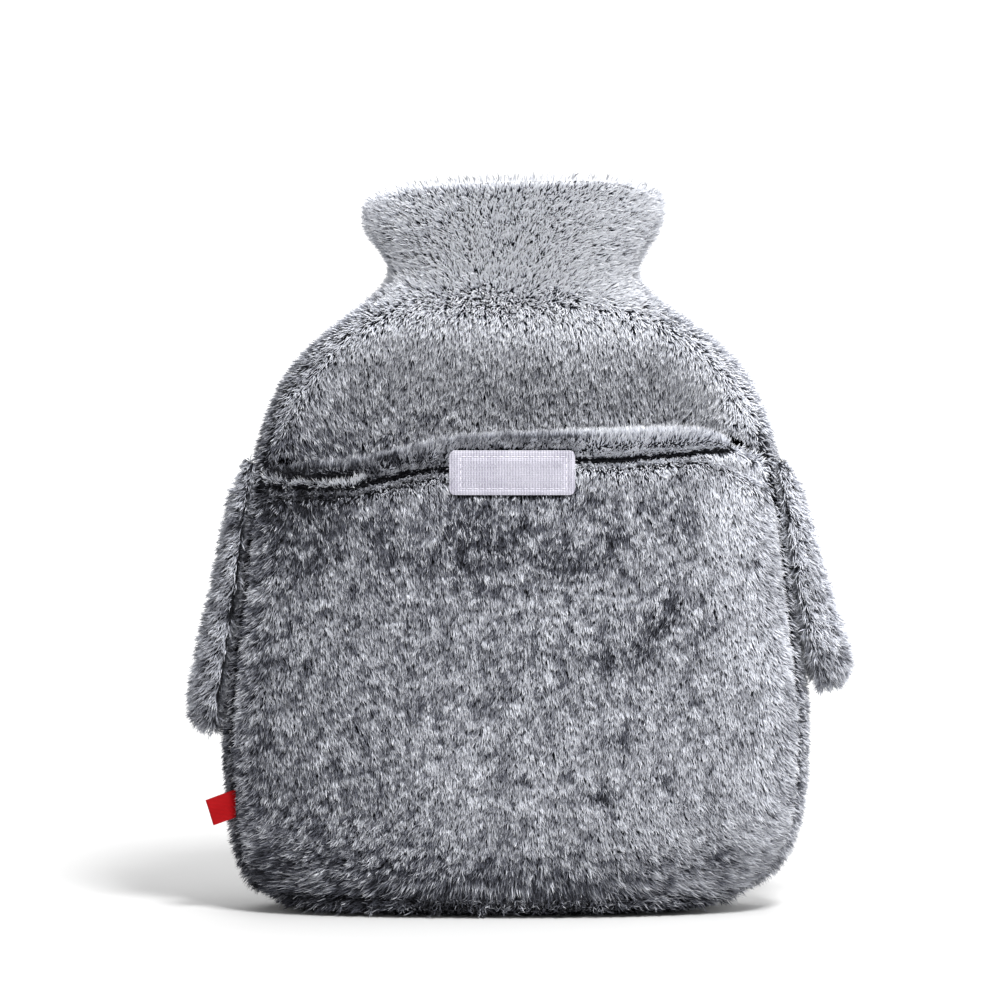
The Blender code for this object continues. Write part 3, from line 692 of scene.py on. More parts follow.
class PileTree(PieceTree):
    """The node tree that grows pile on a backing's mesh.

    The backing carries, at its points, pile_nap (which way it lies), pile_lift (which way and how far it
    stands up), pile_length, pile_tone (from dark to frosted, with painted light and shade in it) and
    pile_cover (how densely it grows), and pile_part on its faces.

    Attributes:
        TWIST: how far a blade may turn about itself.
        LENGTHS: the shortest and the longest blade, as shares of the pile's length.
        BREADTHS: the narrowest and the broadest blade, as shares of the pile's width.
        DRIFT: how fine the slow drift of tone and direction is, as a share of the tufts' fineness.
        GAPE: how far from its line a parting reaches.
        GAPE_COVER: how much more blades grow in its middle, or fewer below 0.
        GAPE_LENGTH: how much longer they are there, or shorter below 0.
        RIDGE: how far from its line a ridge reaches.
        RIDGE_LENGTH: how much longer the blades on a ridge are.
        CLEARANCE: how far the blades stay above the floor.
        MARGIN: the part of the colours' map that is left free at its foot and at its head.
        SIDE: how far apart the two sides of a blade are on the map.
    """

    NAME = "pile"
    SOCKETS = {
        "Blade": "Object",
        "Density": "Float",
        "Width": "Float",
        "Tuft size": "Float",
        "Gather": "Float",
        "Partings": "Object",
        "Ridges": "Object",
        "Wander": "Float",
        "Stray": "Float",
        "Part": "Int",
        "Seed": "Int",
        "Finish": "Material",
    }
    TWIST = math.radians(45.0)
    LENGTHS = (0.72, 1.12)
    BREADTHS = (0.7, 1.3)
    DRIFT = 0.45
    GAPE = 1.3 * MM
    GAPE_COVER = -0.3
    GAPE_LENGTH = -0.42
    RIDGE = 2.2 * MM
    RIDGE_LENGTH = 0.3
    CLEARANCE = 0.3 * MM
    MARGIN = 0.02
    SIDE = 0.012

    def __init__(self) -> None:
        """Builds the tree and the one blade that it repeats."""
        super().__init__()
        self.blade = self.make_blade()

    def make_blade(self) -> bpy.types.Object:
        """One blade of pile, 1 long and 1 wide, bowed outwards and pointed at both ends.

        Returns:
            The blade, which is taken away again once all pile is grown.
        """
        bow, widest = 0.12, 0.6
        points = [(0, 0, 0), (-0.5, bow, widest), (0.5, bow, widest), (0, 0, 1)]
        mesh = bpy.data.meshes.new("blade")
        mesh.from_pydata(points, [], [(0, 1, 2), (1, 3, 2)])
        mesh.shade_smooth()
        store(mesh, "pile_along", np.array([p[2] for p in points], float))
        store(mesh, "pile_side", np.array([p[0] for p in points], float))
        return make_object("blade", mesh)

    def build(self) -> None:
        """Adds the tree's nodes: roots, the blades on them, the floor's push and the colours' map."""
        tree, given = self.tree, self.given
        ridge = self.nearness(given["Ridges"], self.RIDGE)
        parting = self.nearness(given["Partings"], self.GAPE)
        gape = calc(tree, "MULTIPLY", parting, calc(tree, "SUBTRACT", 1.0, ridge))
        place = add(tree, "GeometryNodeInputPosition").outputs[0]
        fineness = calc(tree, "DIVIDE", 1.0, given["Tuft size"])
        tuft = add(tree, "ShaderNodeTexVoronoi", {"Vector": place, "Scale": fineness})
        broad = calc(tree, "MULTIPLY", fineness, self.DRIFT)
        drift = add(tree, "ShaderNodeTexNoise", {"Vector": place, "Scale": broad, "Detail": 2.0})
        shade = self.shade(tuft, drift.outputs["Fac"], gape, ridge)
        inputs = {"Geometry": self.roots(gape), "Name": "pile_shade", "Value": shade}
        toned = add(tree, "GeometryNodeStoreNamedAttribute", inputs)
        length = calc(tree, "MULTIPLY", self.drawn(*self.LENGTHS, 12), self.attribute("pile_length"))
        for near, share in ((gape, self.GAPE_LENGTH), (ridge, self.RIDGE_LENGTH)):
            length = calc(tree, "MULTIPLY", length, calc(tree, "MULTIPLY_ADD", near, share, 1.0))
        width = calc(tree, "MULTIPLY", self.drawn(*self.BREADTHS, 13), given["Width"])
        scale = add(tree, "ShaderNodeCombineXYZ", {"X": width, "Y": length, "Z": length})
        rotation = self.rotation(place, tuft.outputs["Position"], drift.outputs["Color"])
        real = self.repeated(given["Blade"], toned.outputs["Geometry"], rotation, scale.outputs[0])
        x, y, z = split(tree, place)
        above = {"X": x, "Y": y, "Z": calc(tree, "MAXIMUM", z, self.CLEARANCE)}
        inputs = {"Geometry": real, "Position": add(tree, "ShaderNodeCombineXYZ", above).outputs[0]}
        pressed = add(tree, "GeometryNodeSetPosition", inputs)
        inputs = {"Geometry": pressed.outputs[0], "Name": "OFBake", "Value": self.spot()}
        mapped = add(tree, "GeometryNodeStoreNamedAttribute", inputs, data_type="FLOAT2", domain="CORNER")
        self.close(mapped.outputs[0], "pile_*")

    def nearness(self, lines: Socket, reach: float) -> Socket:
        """Adds the nodes that find how near a blade's root is to a set of lines.

        Args:
            lines: the object whose edges are the lines.
            reach: the distance at which they no longer matter.

        Returns:
            1 on a line, falling to 0 at that distance.
        """
        target = add(self.tree, "GeometryNodeObjectInfo", {"Object": lines}).outputs["Geometry"]
        near = add(self.tree, "GeometryNodeProximity", {"Target": target}, target_element="EDGES").outputs
        ends = {"source": (0.3 * reach, reach), "target": (1.0, 0.0)}
        share = remap(self.tree, near["Distance"], **ends, interpolation_type="SMOOTHSTEP")
        return calc(self.tree, "MULTIPLY", share, near["Is Valid"])

    def roots(self, gape: Socket) -> Socket:
        """Adds the nodes that spread the blades' roots over one part of the backing.

        Args:
            gape: how near a root is to the middle of a parting, where fewer grow.

        Returns:
            A point for each root.
        """
        tree, given = self.tree, self.given
        inputs = {2: self.attribute("pile_part", "INT"), 3: given["Part"]}
        same = add(tree, "FunctionNodeCompare", inputs, data_type="INT", operation="EQUAL").outputs[0]
        open_ground = calc(tree, "MULTIPLY_ADD", gape, self.GAPE_COVER, 1.0)
        covered = calc(tree, "MULTIPLY", self.attribute("pile_cover"), open_ground)
        density = calc(tree, "MULTIPLY", covered, given["Density"])
        inputs = {"Mesh": given["Geometry"], "Selection": same, "Density": density, "Seed": given["Seed"]}
        return add(tree, "GeometryNodeDistributePointsOnFaces", inputs).outputs["Points"]

    def rotation(self, place: Socket, middle: Socket, drift: Socket) -> Socket:
        """Adds the nodes that turn each blade the way the pile lies.

        Args:
            place: the blade's root.
            middle: the middle of its tuft, where the tips gather.
            drift: slow noise from 0 to 1, by which the pile wanders.

        Returns:
            The blade's rotation.
        """
        tree, given = self.tree, self.given
        lift = self.attribute("pile_lift", "FLOAT_VECTOR")
        pull = calc(tree, "DIVIDE", given["Gather"], self.attribute("pile_length"))
        inwards = vector_calc(tree, "SUBTRACT", middle, place)
        astray = vector_calc(tree, "SUBTRACT", drift, (0.5, 0.5, 0.5))
        direction = vector_calc(tree, "ADD", lift, self.attribute("pile_nap", "FLOAT_VECTOR"))
        for part, size in (
            (inwards, pull),
            (astray, given["Wander"]),
            (self.drawn_vector(given["Seed"]), given["Stray"]),
        ):
            direction = vector_calc(tree, "ADD", direction, vector_calc(tree, "SCALE", part, size))
        inputs = {"Axis": (0.0, 0.0, 1.0), "Angle": self.drawn(-self.TWIST, self.TWIST, 11)}
        twist = add(tree, "FunctionNodeAxisAngleToRotation", inputs).outputs[0]
        inputs = {"Rotation": self.turned(direction, lift), "Rotate By": twist}
        return add(tree, "FunctionNodeRotateRotation", inputs, rotation_space="LOCAL").outputs[0]

    def shade(self, tuft: bpy.types.Node, drift: Socket, gape: Socket, ridge: Socket) -> Socket:
        """Adds the nodes that find how frosted each blade is.

        Args:
            tuft: the cells that gather the blades in tufts.
            drift: slow noise from 0 to 1.
            gape: how near the blade is to the middle of a parting.
            ridge: how near it is to a ridge's line.

        Returns:
            The shade, from dark at 0 to frosted at 1, and beyond both.
        """
        tree = self.tree
        shade = tone = self.attribute("pile_tone")
        # Dark pile varies more from tuft to tuft and, above all, from blade to blade.
        swing, lively = (remap(tree, tone, (-0.4, 0.6), ends) for ends in ((2.2, 0.85), (7.0, 0.85)))
        own = self.drawn(-0.5, 0.5, 14)
        cell = split(tree, tuft.outputs["Color"])[0]
        # Each source's weight, the value at which it changes nothing, and its spread.
        for source, weight, middle, spread in (
            (own, 0.25, 0.0, lively),
            (cell, 0.55, 0.5, swing),
            (drift, 1.6, 0.5, swing),
            # Blades at a tuft's edge are darker: painted shade in the gaps between tufts.
            (tuft.outputs["Distance"], -0.4, 0.4, swing),
            # Partings darken where the dark roots show, and in the hem's hollows also as painted shade;
            # ridges lighten, partly as a painted highlight.
            (gape, -2.8, 0.0, 1.0),
            (ridge, 2.0, 0.0, 1.0),
        ):
            shifted = calc(tree, "MULTIPLY", calc(tree, "SUBTRACT", source, middle), spread)
            shade = calc(tree, "MULTIPLY_ADD", shifted, weight, shade)
        return shade

    def spot(self) -> Socket:
        """Adds the nodes that find each corner's place on the colours' map.

        Returns:
            Across the map the place along the blade, moved to the tip's colour on the palest blades and to
            the root's on the darkest ones, and up it the blade's shade.
        """
        tree = self.tree
        shade = self.attribute("pile_shade")
        low, high = self.MARGIN, 1.0 - self.MARGIN
        clamped = add(tree, "ShaderNodeClamp", {"Value": shade, "Min": low, "Max": high}).outputs[0]
        row = calc(tree, "MULTIPLY_ADD", self.attribute("pile_side"), self.SIDE, clamped)
        # The palest blades, many pale with painted light, take the tip's colour further down, and the
        # darkest, many dark with painted shade, take the root's colour further up.
        frost_and_painted_light = remap(tree, shade, (high, 2.0), (0.0, 0.6))
        gloom = remap(tree, shade, (-1.4, 0.0), (0.8, 0.0))
        along = self.attribute("pile_along")
        for share, end in ((frost_and_painted_light, 1.0), (gloom, 0.0)):
            along = add(tree, "ShaderNodeMix", {0: share, 2: along, 3: end}, data_type="FLOAT").outputs[0]
        return add(tree, "ShaderNodeCombineXYZ", {"X": along, "Y": row}).outputs[0]

    def grow(self, backing: bpy.types.Object, name: str, part: int, sizes: dict) -> bpy.types.Object:
        """Grows the pile of one part of a backing.

        Args:
            backing: the sheet that it grows on.
            name: the pile's name.
            part: the number of that part in pile_part.
            sizes: values for the tree's other inputs, by name.

        Returns:
            The pile as one plain mesh.
        """
        values = {"Blade": self.blade, "Part": part, "Seed": SEED + part, **sizes}
        return self.run(name, backing.data.copy(), values)

    def clear_away(self) -> None:
        """Takes the single blade out of the scene."""
        bpy.data.objects.remove(self.blade)


# Fur panels


@dataclass
class FurSheet:
    """A panel of fur cloth: its knitted backing, and its pile in one or more parts.

    Attributes:
        node: the solid that it stands for.
        name: the panel's name in its pieces' names.
        blades: how many blades of pile each part has.
        core: half width, y and lowest height of the plate inside the cover that the pile points away from.
        flat: width and length of the cut cloth; not used.
        area: the cut's flat area; not used.
        edges: x at which the panel is split into parts.
        part_names: the parts' names in their pieces' names.
        rim_above: height over which upward edges grow pile too.
        ruffles_and_shading: where its pile is brushed another way, and where light and shade are painted on
            it.
        partings: lines where its pile parts and its dark roots show; in the hem's hollows also painted shade.
        ridges: lines along which frosted tips stand up, drawn lighter partly as a painted highlight.
        finer: how often its solid's faces are divided.
        over_seam: how far the pile at the seam leans to the front, or to the back below 0.
        under_seam: how far the pile at the foot's seam leans down, or up below 0.
        broad_rounds: how far the way that pile stands up is evened out over dents in the cloth.
        BACKING: thickness of the knit.
        PILE_DEPTH: how far the knit lies below the solid's outer surface.
        TURNED_DEPTH: the same inside a turned hem.
        PARTING_DROP: how much deeper it lies along a parting.
        PARTING_HALF: half width of that drop, in millimetres.
        SEARCH: how far a panel's other side is looked for.
        LENGTH: of the pile.
        WIDTH: of a blade.
        LIFT: how far the pile stands up.
        NAP: how far it lies along its flow.
        TUFT: from tuft to tuft.
        GATHER: how far tips draw together in a tuft.
        WANDER: how far the pile wanders from its flow.
        STRAY: how far each blade does.
        SPILL: how far the pile leans over a seam.
        TONE: how frosted the pile is in the middle of the back.
    """

    node: str
    name: str
    blades: int
    core: tuple[float, float, float] = (0.0, 0.0, 0.0)
    flat: tuple[float, float] | None = None
    area: float | None = None
    edges: tuple[float, ...] = ()
    part_names: tuple[str, ...] = ("all",)
    rim_above: float = 1.0
    ruffles_and_shading: tuple[RuffleOrShading, ...] = ()
    partings: tuple[Line, ...] = ()
    ridges: tuple[Line, ...] = ()
    finer: int = 1
    over_seam: float = 0.0
    under_seam: float = 1.0
    broad_rounds: int = 0

    BACKING = 1.6 * MM
    PILE_DEPTH = 3.2 * MM
    TURNED_DEPTH = 2.6 * MM
    PARTING_DROP = 1.8 * MM
    PARTING_HALF = 1.8
    SEARCH = 20 * MM
    LENGTH = 5.5 * MM
    WIDTH = 0.42 * MM
    LIFT = 1.2
    NAP = 0.8
    TUFT = 2.3 * MM
    GATHER = 0.75
    WANDER = 1.3
    STRAY = 0.35
    SPILL = 0.9
    TONE = 0.57

    def flow(self, x: np.ndarray, z: np.ndarray) -> tuple[np.ndarray, np.ndarray]:
        """Which way the pile lies: the x and height of its direction, from places in millimetres."""
        return np.zeros_like(x), -np.ones_like(x)

    def turned_in(self, x: np.ndarray, z: np.ndarray) -> np.ndarray:
        """How much of the pile side is turned to the inside."""
        return np.zeros_like(x)

    def near_seam(self, points: np.ndarray) -> np.ndarray:
        """How near each point, in millimetres, is to the seam round the cover, where the pile spills over."""
        return np.zeros(len(points))

    def combed(self, x: np.ndarray, z: np.ndarray) -> np.ndarray:
        """How flat the pile is combed down, from 0 to 1."""
        return np.zeros_like(x)

    def pile_length(self, x: np.ndarray, z: np.ndarray) -> np.ndarray:
        """The pile's length."""
        return np.full(len(x), self.LENGTH)

    def tone(self, x: np.ndarray, z: np.ndarray) -> np.ndarray:
        """How frosted the pile is, from 0 to 1, with painted light and shade in it.

        Args:
            x: places across the back, in millimetres.
            z: their height.

        Returns:
            The tone: painted light on the right and the collar, painted shade at the foot and on the left.
        """
        # Painted light and shade, for lamps on the right and above: lighter to the right, on the collar and
        # on the right shoulder, and darker on the left and at the foot, which turns away from the light.
        right = ramp(x, 75, 105) * (0.08 + 0.1 * ramp(z, 70, 110)) + 0.08 * ramp(x, 10, 70) * ramp(z, 110, 70)
        left = 0.1 * ramp(x, -95, -120) + 0.2 * ramp(z, 100, 40) * ramp(x, -20, -90)
        low = 0.5 * ramp(z, 40, 12) * (1.0 - 0.65 * ramp(x, 0, 90)) + 0.4 * ramp(z, 14, 4)
        collar = ramp(z, 250, 290) * (1.05 + 0.6 * ramp(x, -60, 50)) + 0.1 * ramp(z, 230, 250)
        shoulder = 0.75 * ramp(x, 60, 90) * ramp(z, 216, 228)
        return self.TONE + 0.05 * x / 120.0 + right - left + shoulder + collar - low

    def outwards(self, points: np.ndarray) -> np.ndarray:
        """The direction away from the cover's inside at each point."""
        half_width, middle, lowest = self.core
        x, y, z = points.T
        nearest = [np.clip(x, -half_width, half_width), np.full_like(y, middle), np.maximum(z, lowest)]
        return unit(points - np.stack(nearest, -1))

    def backing(self) -> bpy.types.Object:
        """Makes the knitted sheet, with the pile's habits stored on it."""
        sheet = welded(self.node, f"backing_{self.name}", self.finer)
        mesh = sheet.data
        points, normals = places(mesh), directions(mesh)
        x, _, z = points.T / MM
        side = (normals * self.outwards(points)).sum(-1)
        rim = ramp(points[:, 2], self.rim_above, self.rim_above + 4 * MM) * np.maximum(normals[:, 2], 0.0)
        outside = ramp(side + rim, -0.1, 0.3)
        turned = self.turned_in(x, z) * ramp(side, -0.2, -0.5)
        room = np.maximum(wall_depth(mesh, self.SEARCH, self.SEARCH) - self.BACKING, 0.0)
        pressed = 1.0 - 0.7 * ramp(z, 8, 0)
        depth = np.minimum(self.PILE_DEPTH * outside * pressed + self.TURNED_DEPTH * turned, room)
        depth = neighbours_mean(mesh, depth, 2)
        for line in self.partings:
            near = np.exp(-((line_distance(x, z, line) / self.PARTING_HALF) ** 2))
            parted = (self.PILE_DEPTH + self.PARTING_DROP * near) * outside
            depth = np.maximum(depth, np.minimum(parted, room))
        sink(mesh, depth)
        self.habits(mesh, np.maximum(outside, turned))
        mesh.materials.clear()
        return sheet

    def on_surface(self, sheet: bpy.types.Object, name: str, lines: tuple[Line, ...]) -> bpy.types.Object:
        """Lays lines on the panel's outer side.

        Args:
            sheet: the backing.
            name: the new object's name.
            lines: the lines, as seen from the back.

        Returns:
            An object whose edges are the lines. It is taken away again once the pile is grown.
        """
        surface = tree_of(sheet.data)
        points, edges = [], []
        for line in lines:
            start = len(points)
            for (x0, z0), (x1, z1) in zip(line, line[1:]):
                steps = max(int(math.hypot(x1 - x0, z1 - z0) / 1.5), 1)
                for k in range(steps + (x1 == line[-1][0])):
                    share = k / steps
                    hit, _ = seen_from_back(surface, x0 + (x1 - x0) * share, z0 + (z1 - z0) * share)
                    if hit is not None:
                        points.append(hit)
            edges += [(k, k + 1) for k in range(start, len(points) - 1)]
        mesh = bpy.data.meshes.new(name)
        mesh.from_pydata(points, edges, [])
        return make_object(name, mesh)

    def habits(self, mesh: bpy.types.Mesh, cover: np.ndarray) -> None:
        """Stores how the pile grows at each of the backing's points.

        Args:
            mesh: the backing's mesh.
            cover: how densely pile grows.
        """
        points, normals = places(mesh), directions(mesh)
        x, y, z = points.T / MM
        flow_x, flow_z = self.flow(x, z)
        tone = self.tone(x, z)
        growth = np.ones(len(points))
        for ruffle_or_shading in self.ruffles_and_shading:
            share = np.exp(-(((x - ruffle_or_shading.x) ** 2 + (z - ruffle_or_shading.z) ** 2) / ruffle_or_shading.reach**2))
            share = share * smooth(-normals[:, 1] + 0.5)
            flow_x += (ruffle_or_shading.flow[0] - flow_x) * share * ruffle_or_shading.strength
            flow_z += (ruffle_or_shading.flow[1] - flow_z) * share * ruffle_or_shading.strength
            tone += ruffle_or_shading.tone * share
            growth += ruffle_or_shading.growth * share
        under = ramp(normals[:, 2], -0.6, -0.9)
        near_floor = ramp(z, 9, 0)
        foot = ramp(z, 26, 10) * (1.0 - under)
        corner = ramp(z, 60, 20) * ramp(np.abs(x), 60, 110)
        combed = self.combed(x, z)

        # Along the seams the pile spills over them, and under the cover it lies flat and outwards.
        flow = np.stack([flow_x, np.zeros_like(x), flow_z], -1)
        flow = flow / np.maximum(np.linalg.norm(flow, axis=-1, keepdims=True), 1.0)
        over = np.array([0.0, self.over_seam, 0.0])
        spill = unit(self.outwards(points) * np.array([1.0, 0.0, self.under_seam]) + over) * self.SPILL
        seam = self.near_seam(points / MM)[:, None]
        flow = flow * (1.0 - 0.5 * seam) + spill * seam
        flow[:, 1] += under * np.where(y < 0, -1.0, 1.0)
        flow[:, 2] *= 1.0 - 0.8 * under
        flow = flow - normals * (flow * normals).sum(-1, keepdims=True)
        flow = flow / np.maximum(np.linalg.norm(flow, axis=-1, keepdims=True), 1.0)

        # At the foot and its corners it grows long, and under the cover it is short and pressed flat.
        nap = self.NAP * (1.0 + 0.6 * foot) * (1.0 + 0.3 * combed)
        lift = self.LIFT * (1.0 - 0.75 * near_floor * under) * (1.0 - 0.3 * foot + 0.6 * corner)
        lift = lift * (1.0 - 0.2 * combed)
        length = self.pile_length(x, z) * (1.0 - 0.45 * under + 0.6 * foot + 0.5 * corner) * growth
        store(mesh, "pile_nap", flow * nap[:, None])
        store(mesh, "pile_lift", unit(neighbours_mean(mesh, normals, self.broad_rounds)) * lift[:, None])
        store(mesh, "pile_length", length)
        store(mesh, "pile_tone", tone)
        store(mesh, "pile_cover", cover * (1.0 - 0.6 * under))
        middles = np.array([p.center[0] for p in mesh.polygons])
        store(mesh, "pile_part", np.digitize(middles, self.edges).astype(np.int32), "FACE")

    def weighed_area(self, mesh: bpy.types.Mesh) -> list[float]:
        """For each part, the area that pile grows on, each bit counted by how dense it is."""
        cover = np.array([d.value for d in mesh.attributes["pile_cover"].data])
        part = np.array([d.value for d in mesh.attributes["pile_part"].data])
        area = np.array([p.area * cover[list(p.vertices)].mean() for p in mesh.polygons])
        return [float(area[part == k].sum()) for k in range(len(self.edges) + 1)]

    def build(
        self, pile: PileTree, fur: bpy.types.Material, knit: bpy.types.Material
    ) -> list[bpy.types.Object]:
        """Builds and dresses the panel.

        Args:
            pile: the tree that grows pile.
            fur: the pile's material.
            knit: the backing's material.

        Returns:
            The backing, and then each part of its pile.
        """
        sheet = self.backing()
        partings = self.on_surface(sheet, "partings", self.partings)
        ridges = self.on_surface(sheet, "ridges", self.ridges)
        sizes = {
            "Width": self.WIDTH,
            "Tuft size": self.TUFT,
            "Gather": self.GATHER,
            "Wander": self.WANDER,
            "Stray": self.STRAY,
            "Partings": partings,
            "Ridges": ridges,
            "Finish": fur,
        }
        grown = []
        for part, area in enumerate(self.weighed_area(sheet.data)):
            name = f"pile_{self.name}_{self.part_names[part]}"
            grown.append(pile.grow(sheet, name, part, {**sizes, "Density": self.blades / area}))
        for name in [a.name for a in sheet.data.attributes if a.name.startswith("pile_")]:
            sheet.data.attributes.remove(sheet.data.attributes[name])
        for lines in (partings, ridges):
            bpy.data.objects.remove(lines)
        sheet.data.materials.append(knit)
        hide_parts(self.node)
        self.declare(sheet, grown)
        for piece in (sheet, *grown):
            hand_over(piece)
        return [sheet, *grown]

    def declare(self, sheet: bpy.types.Object, grown: list[bpy.types.Object]) -> None:
        """Does nothing: the panel is a sheet of cloth, held open at its slit by the seams round it."""


class FrontPanel(FurSheet):
    """The front, both sides and the base, with its pile brushed down and, on the collar, up."""

    WIDTH = 0.52 * MM

    def near_seam(self, points: np.ndarray) -> np.ndarray:
        """How near each point is to the seam: the panel wraps onto the back before it ends."""
        return ramp(points[:, 1], 2, -8)

    def habits(self, mesh: bpy.types.Mesh, cover: np.ndarray) -> None:
        """Stores how the pile grows, more densely towards the seam."""
        beside = ramp(places(mesh)[:, 1] / MM, 14, -6)
        super().habits(mesh, cover * (0.45 + 0.55 * beside))

    def flow(self, x: np.ndarray, z: np.ndarray) -> tuple[np.ndarray, np.ndarray]:
        """Down and a little inwards, but up and outwards on the collar."""
        up = ramp(z, 262, 296)
        return x / 60.0 * up - 0.3 * x / 130.0 * (1 - up), 2.0 * up - 1.0


# Lines on the back, as x and height in millimetres: the hem's top, and the stitches beside the tape.
HEM_TOP = (
    (-114.0, 205.0), (-94.0, 206.5), (-76.0, 208.5), (-58.0, 212.5), (-38.0, 217.0), (-10.0, 219.5),
    (20.0, 220.5), (50.0, 221.5), (75.0, 222.5), (95.0, 221.0), (114.0, 210.0),
)
HEM_BAND = 12.5
STITCH_LEFT = (
    (-117.0, 198.0), (-112.1, 195.3), (-105.8, 194.6), (-90.5, 194.4), (-82.8, 193.5), (-74.7, 193.5),
    (-70.2, 195.3), (-64.8, 197.1), (-58.1, 198.5), (-51.3, 200.3), (-42.8, 202.1), (-31.0, 203.0),
)
STITCH_RIGHT = (
    (27.0, 207.0), (45.0, 207.0), (53.6, 207.5), (62.1, 209.0), (76.0, 209.7), (84.6, 211.0),
    (98.6, 212.0), (103.0, 211.0), (106.4, 209.3), (109.8, 207.0), (112.0, 204.3), (115.4, 201.4),
)

# The tape on the hem, in millimetres.
TAPE_LEFT, TAPE_RIGHT = -30.0, 26.5
TAPE_BOTTOM, TAPE_TOP = 192.0, 212.0


class PocketPanel(FurSheet):
    """The lower back: the pocket with its turned hem, and the bed that the tape presses into its pile."""

    def pile_length(self, x: np.ndarray, z: np.ndarray) -> np.ndarray:
        """The pile's length: longer above the foot's seam, which it covers."""
        return self.LENGTH * (1.0 + 0.35 * ramp(z, 16, 8))

    def near_seam(self, points: np.ndarray) -> np.ndarray:
        """How near each point is to the seam at the sides and the foot."""
        _, y, z = points.T
        return np.maximum(ramp(y, -26, -17) * ramp(z, 190, 180), ramp(z, 22, 12))

    def groove(self, x: np.ndarray) -> np.ndarray:
        """The height of the hem's stitched groove above each x, in millimetres."""
        return np.interp(x, *np.transpose(STITCH_LEFT + STITCH_RIGHT))

    def habits(self, mesh: bpy.types.Mesh, cover: np.ndarray) -> None:
        """Stores how the pile grows, with none under the tape."""
        x, y, z = places(mesh).T / MM
        beside = np.maximum(TAPE_LEFT - x, x - TAPE_RIGHT)
        beyond = np.maximum(TAPE_BOTTOM - z, z - TAPE_TOP)
        bed = (np.maximum(beside, beyond) < -0.8) & (y < -20.0)
        super().habits(mesh, np.where(bed, 0.0, cover))

    def turned_in(self, x: np.ndarray, z: np.ndarray) -> np.ndarray:
        """The hem's band, where the pile side lies inside."""
        band = np.interp(x, *np.transpose(HEM_TOP)) - HEM_BAND
        return ramp(z, band, band + 2.0)

    def flow(self, x: np.ndarray, z: np.ndarray) -> tuple[np.ndarray, np.ndarray]:
        """Up on the hem, and down on the pocket, outwards at the foot's corners and aslant on the left."""
        band = smooth(z - self.groove(x) + 0.5)
        foot = ramp(z, 75, 0)
        corner = foot * np.clip(x / 100.0, -1.0, 1.0)
        lean = 0.38 * ramp(x, -20, -80) * (1.0 - foot) + 1.1 * corner
        down = -1.0 + 1.5 * np.abs(corner)
        return lean * (1 - band) + 0.18 * band, down * (1 - band) + band

    def combed(self, x: np.ndarray, z: np.ndarray) -> np.ndarray:
        """How flat the pile is combed down: fully, but for a strip along the hem's stitches."""
        return ramp(np.abs(z - self.groove(x)), 3, 11)

    def tone(self, x: np.ndarray, z: np.ndarray) -> np.ndarray:
        """How frosted the pile is: painted light on the hem's right half, painted shade on its left, less
        below it.
        """
        above = z - self.groove(x)
        # Painted light on the hem's right half, and painted shade on its left one.
        right = 0.5 * ramp(above, -9, -2) * ramp(x, 10, 40)
        left = 0.15 * ramp(above, -4, 0) * ramp(x, -40, -70)
        middle = ramp(above, 0, -12) * (0.07 + 0.04 * ramp(z, 60, 110))
        return super().tone(x, z) + right - left - middle


class UpperPanel(FurSheet):
    """The upper back, from behind the hem to the collar's rim."""

    def near_seam(self, points: np.ndarray) -> np.ndarray:
        """How near each point is to the seam at the sides, up to the neck."""
        x, _, z = points.T
        seam = np.interp(z, [190.0, 235.0, 262.0, 280.0], [121.0, 104.0, 74.0, 58.0])
        return 0.6 * ramp(np.abs(x), seam - 14, seam) * ramp(z, 275, 260)

    def pile_length(self, x: np.ndarray, z: np.ndarray) -> np.ndarray:
        """The pile's length: shorter at the collar's rim, but for its right end."""
        return self.LENGTH * (1.0 - 0.35 * ramp(z, 318, 326) * ramp(x, 70, 40))

    def tone(self, x: np.ndarray, z: np.ndarray) -> np.ndarray:
        """How frosted the pile is: painted shade where it hangs behind the hem's left half."""
        return super().tone(x, z) - 0.4 * ramp(z, 226, 210) * ramp(x, -30, -60)

    def flow(self, x: np.ndarray, z: np.ndarray) -> tuple[np.ndarray, np.ndarray]:
        """Down over the shoulders, up and outwards on the collar."""
        up = ramp(z, 260, 294)
        return (0.25 + x / 48.0) * up, 2.0 * up - 1.0


@dataclass
class Flipper(FurSheet):
    """A padded arm, with pile all round its filled core.

    Attributes:
        lean: how far its pile lies to the right, or to the left below 0.
        FILL: how firmly it is filled.
        ROOT: the height of its root, in millimetres.
    """

    lean: float = 0.5

    FILL = 0.6
    ROOT = 203.0
    SEARCH = 40 * MM
    LENGTH = 6.6 * MM
    LIFT = 0.85
    PILE_DEPTH = 1.8 * MM
    TUFT = 3.4 * MM
    GATHER = 1.2
    WANDER = 2.0
    STRAY = 0.5

    def pile_length(self, x: np.ndarray, z: np.ndarray) -> np.ndarray:
        """The pile's length: shorter at the arm's root, where it is sewn in."""
        return self.LENGTH * (0.5 + 0.5 * ramp(z, self.ROOT, self.ROOT - 14))

    def tone(self, x: np.ndarray, z: np.ndarray) -> np.ndarray:
        """How frosted the pile is: a little more than beside the arm."""
        return super().tone(x, z) + 0.16

    def flow(self, x: np.ndarray, z: np.ndarray) -> tuple[np.ndarray, np.ndarray]:
        """Down and away from the body."""
        return np.full_like(x, self.lean), -np.ones_like(z)

    def backing(self) -> bpy.types.Object:
        """Makes the filled core, with the pile's habits stored on it."""
        core = welded(self.node, f"core_{self.name}", self.finer)
        mesh = core.data
        depth = np.minimum(self.PILE_DEPTH, 0.3 * wall_depth(mesh, self.SEARCH, 0.0))
        sink(mesh, neighbours_mean(mesh, depth, 3))
        self.habits(mesh, np.ones(len(mesh.vertices)))
        mesh.materials.clear()
        return core

    def declare(self, sheet: bpy.types.Object, grown: list[bpy.types.Object]) -> None:
        """Does nothing: the arm is padded."""


# Small parts


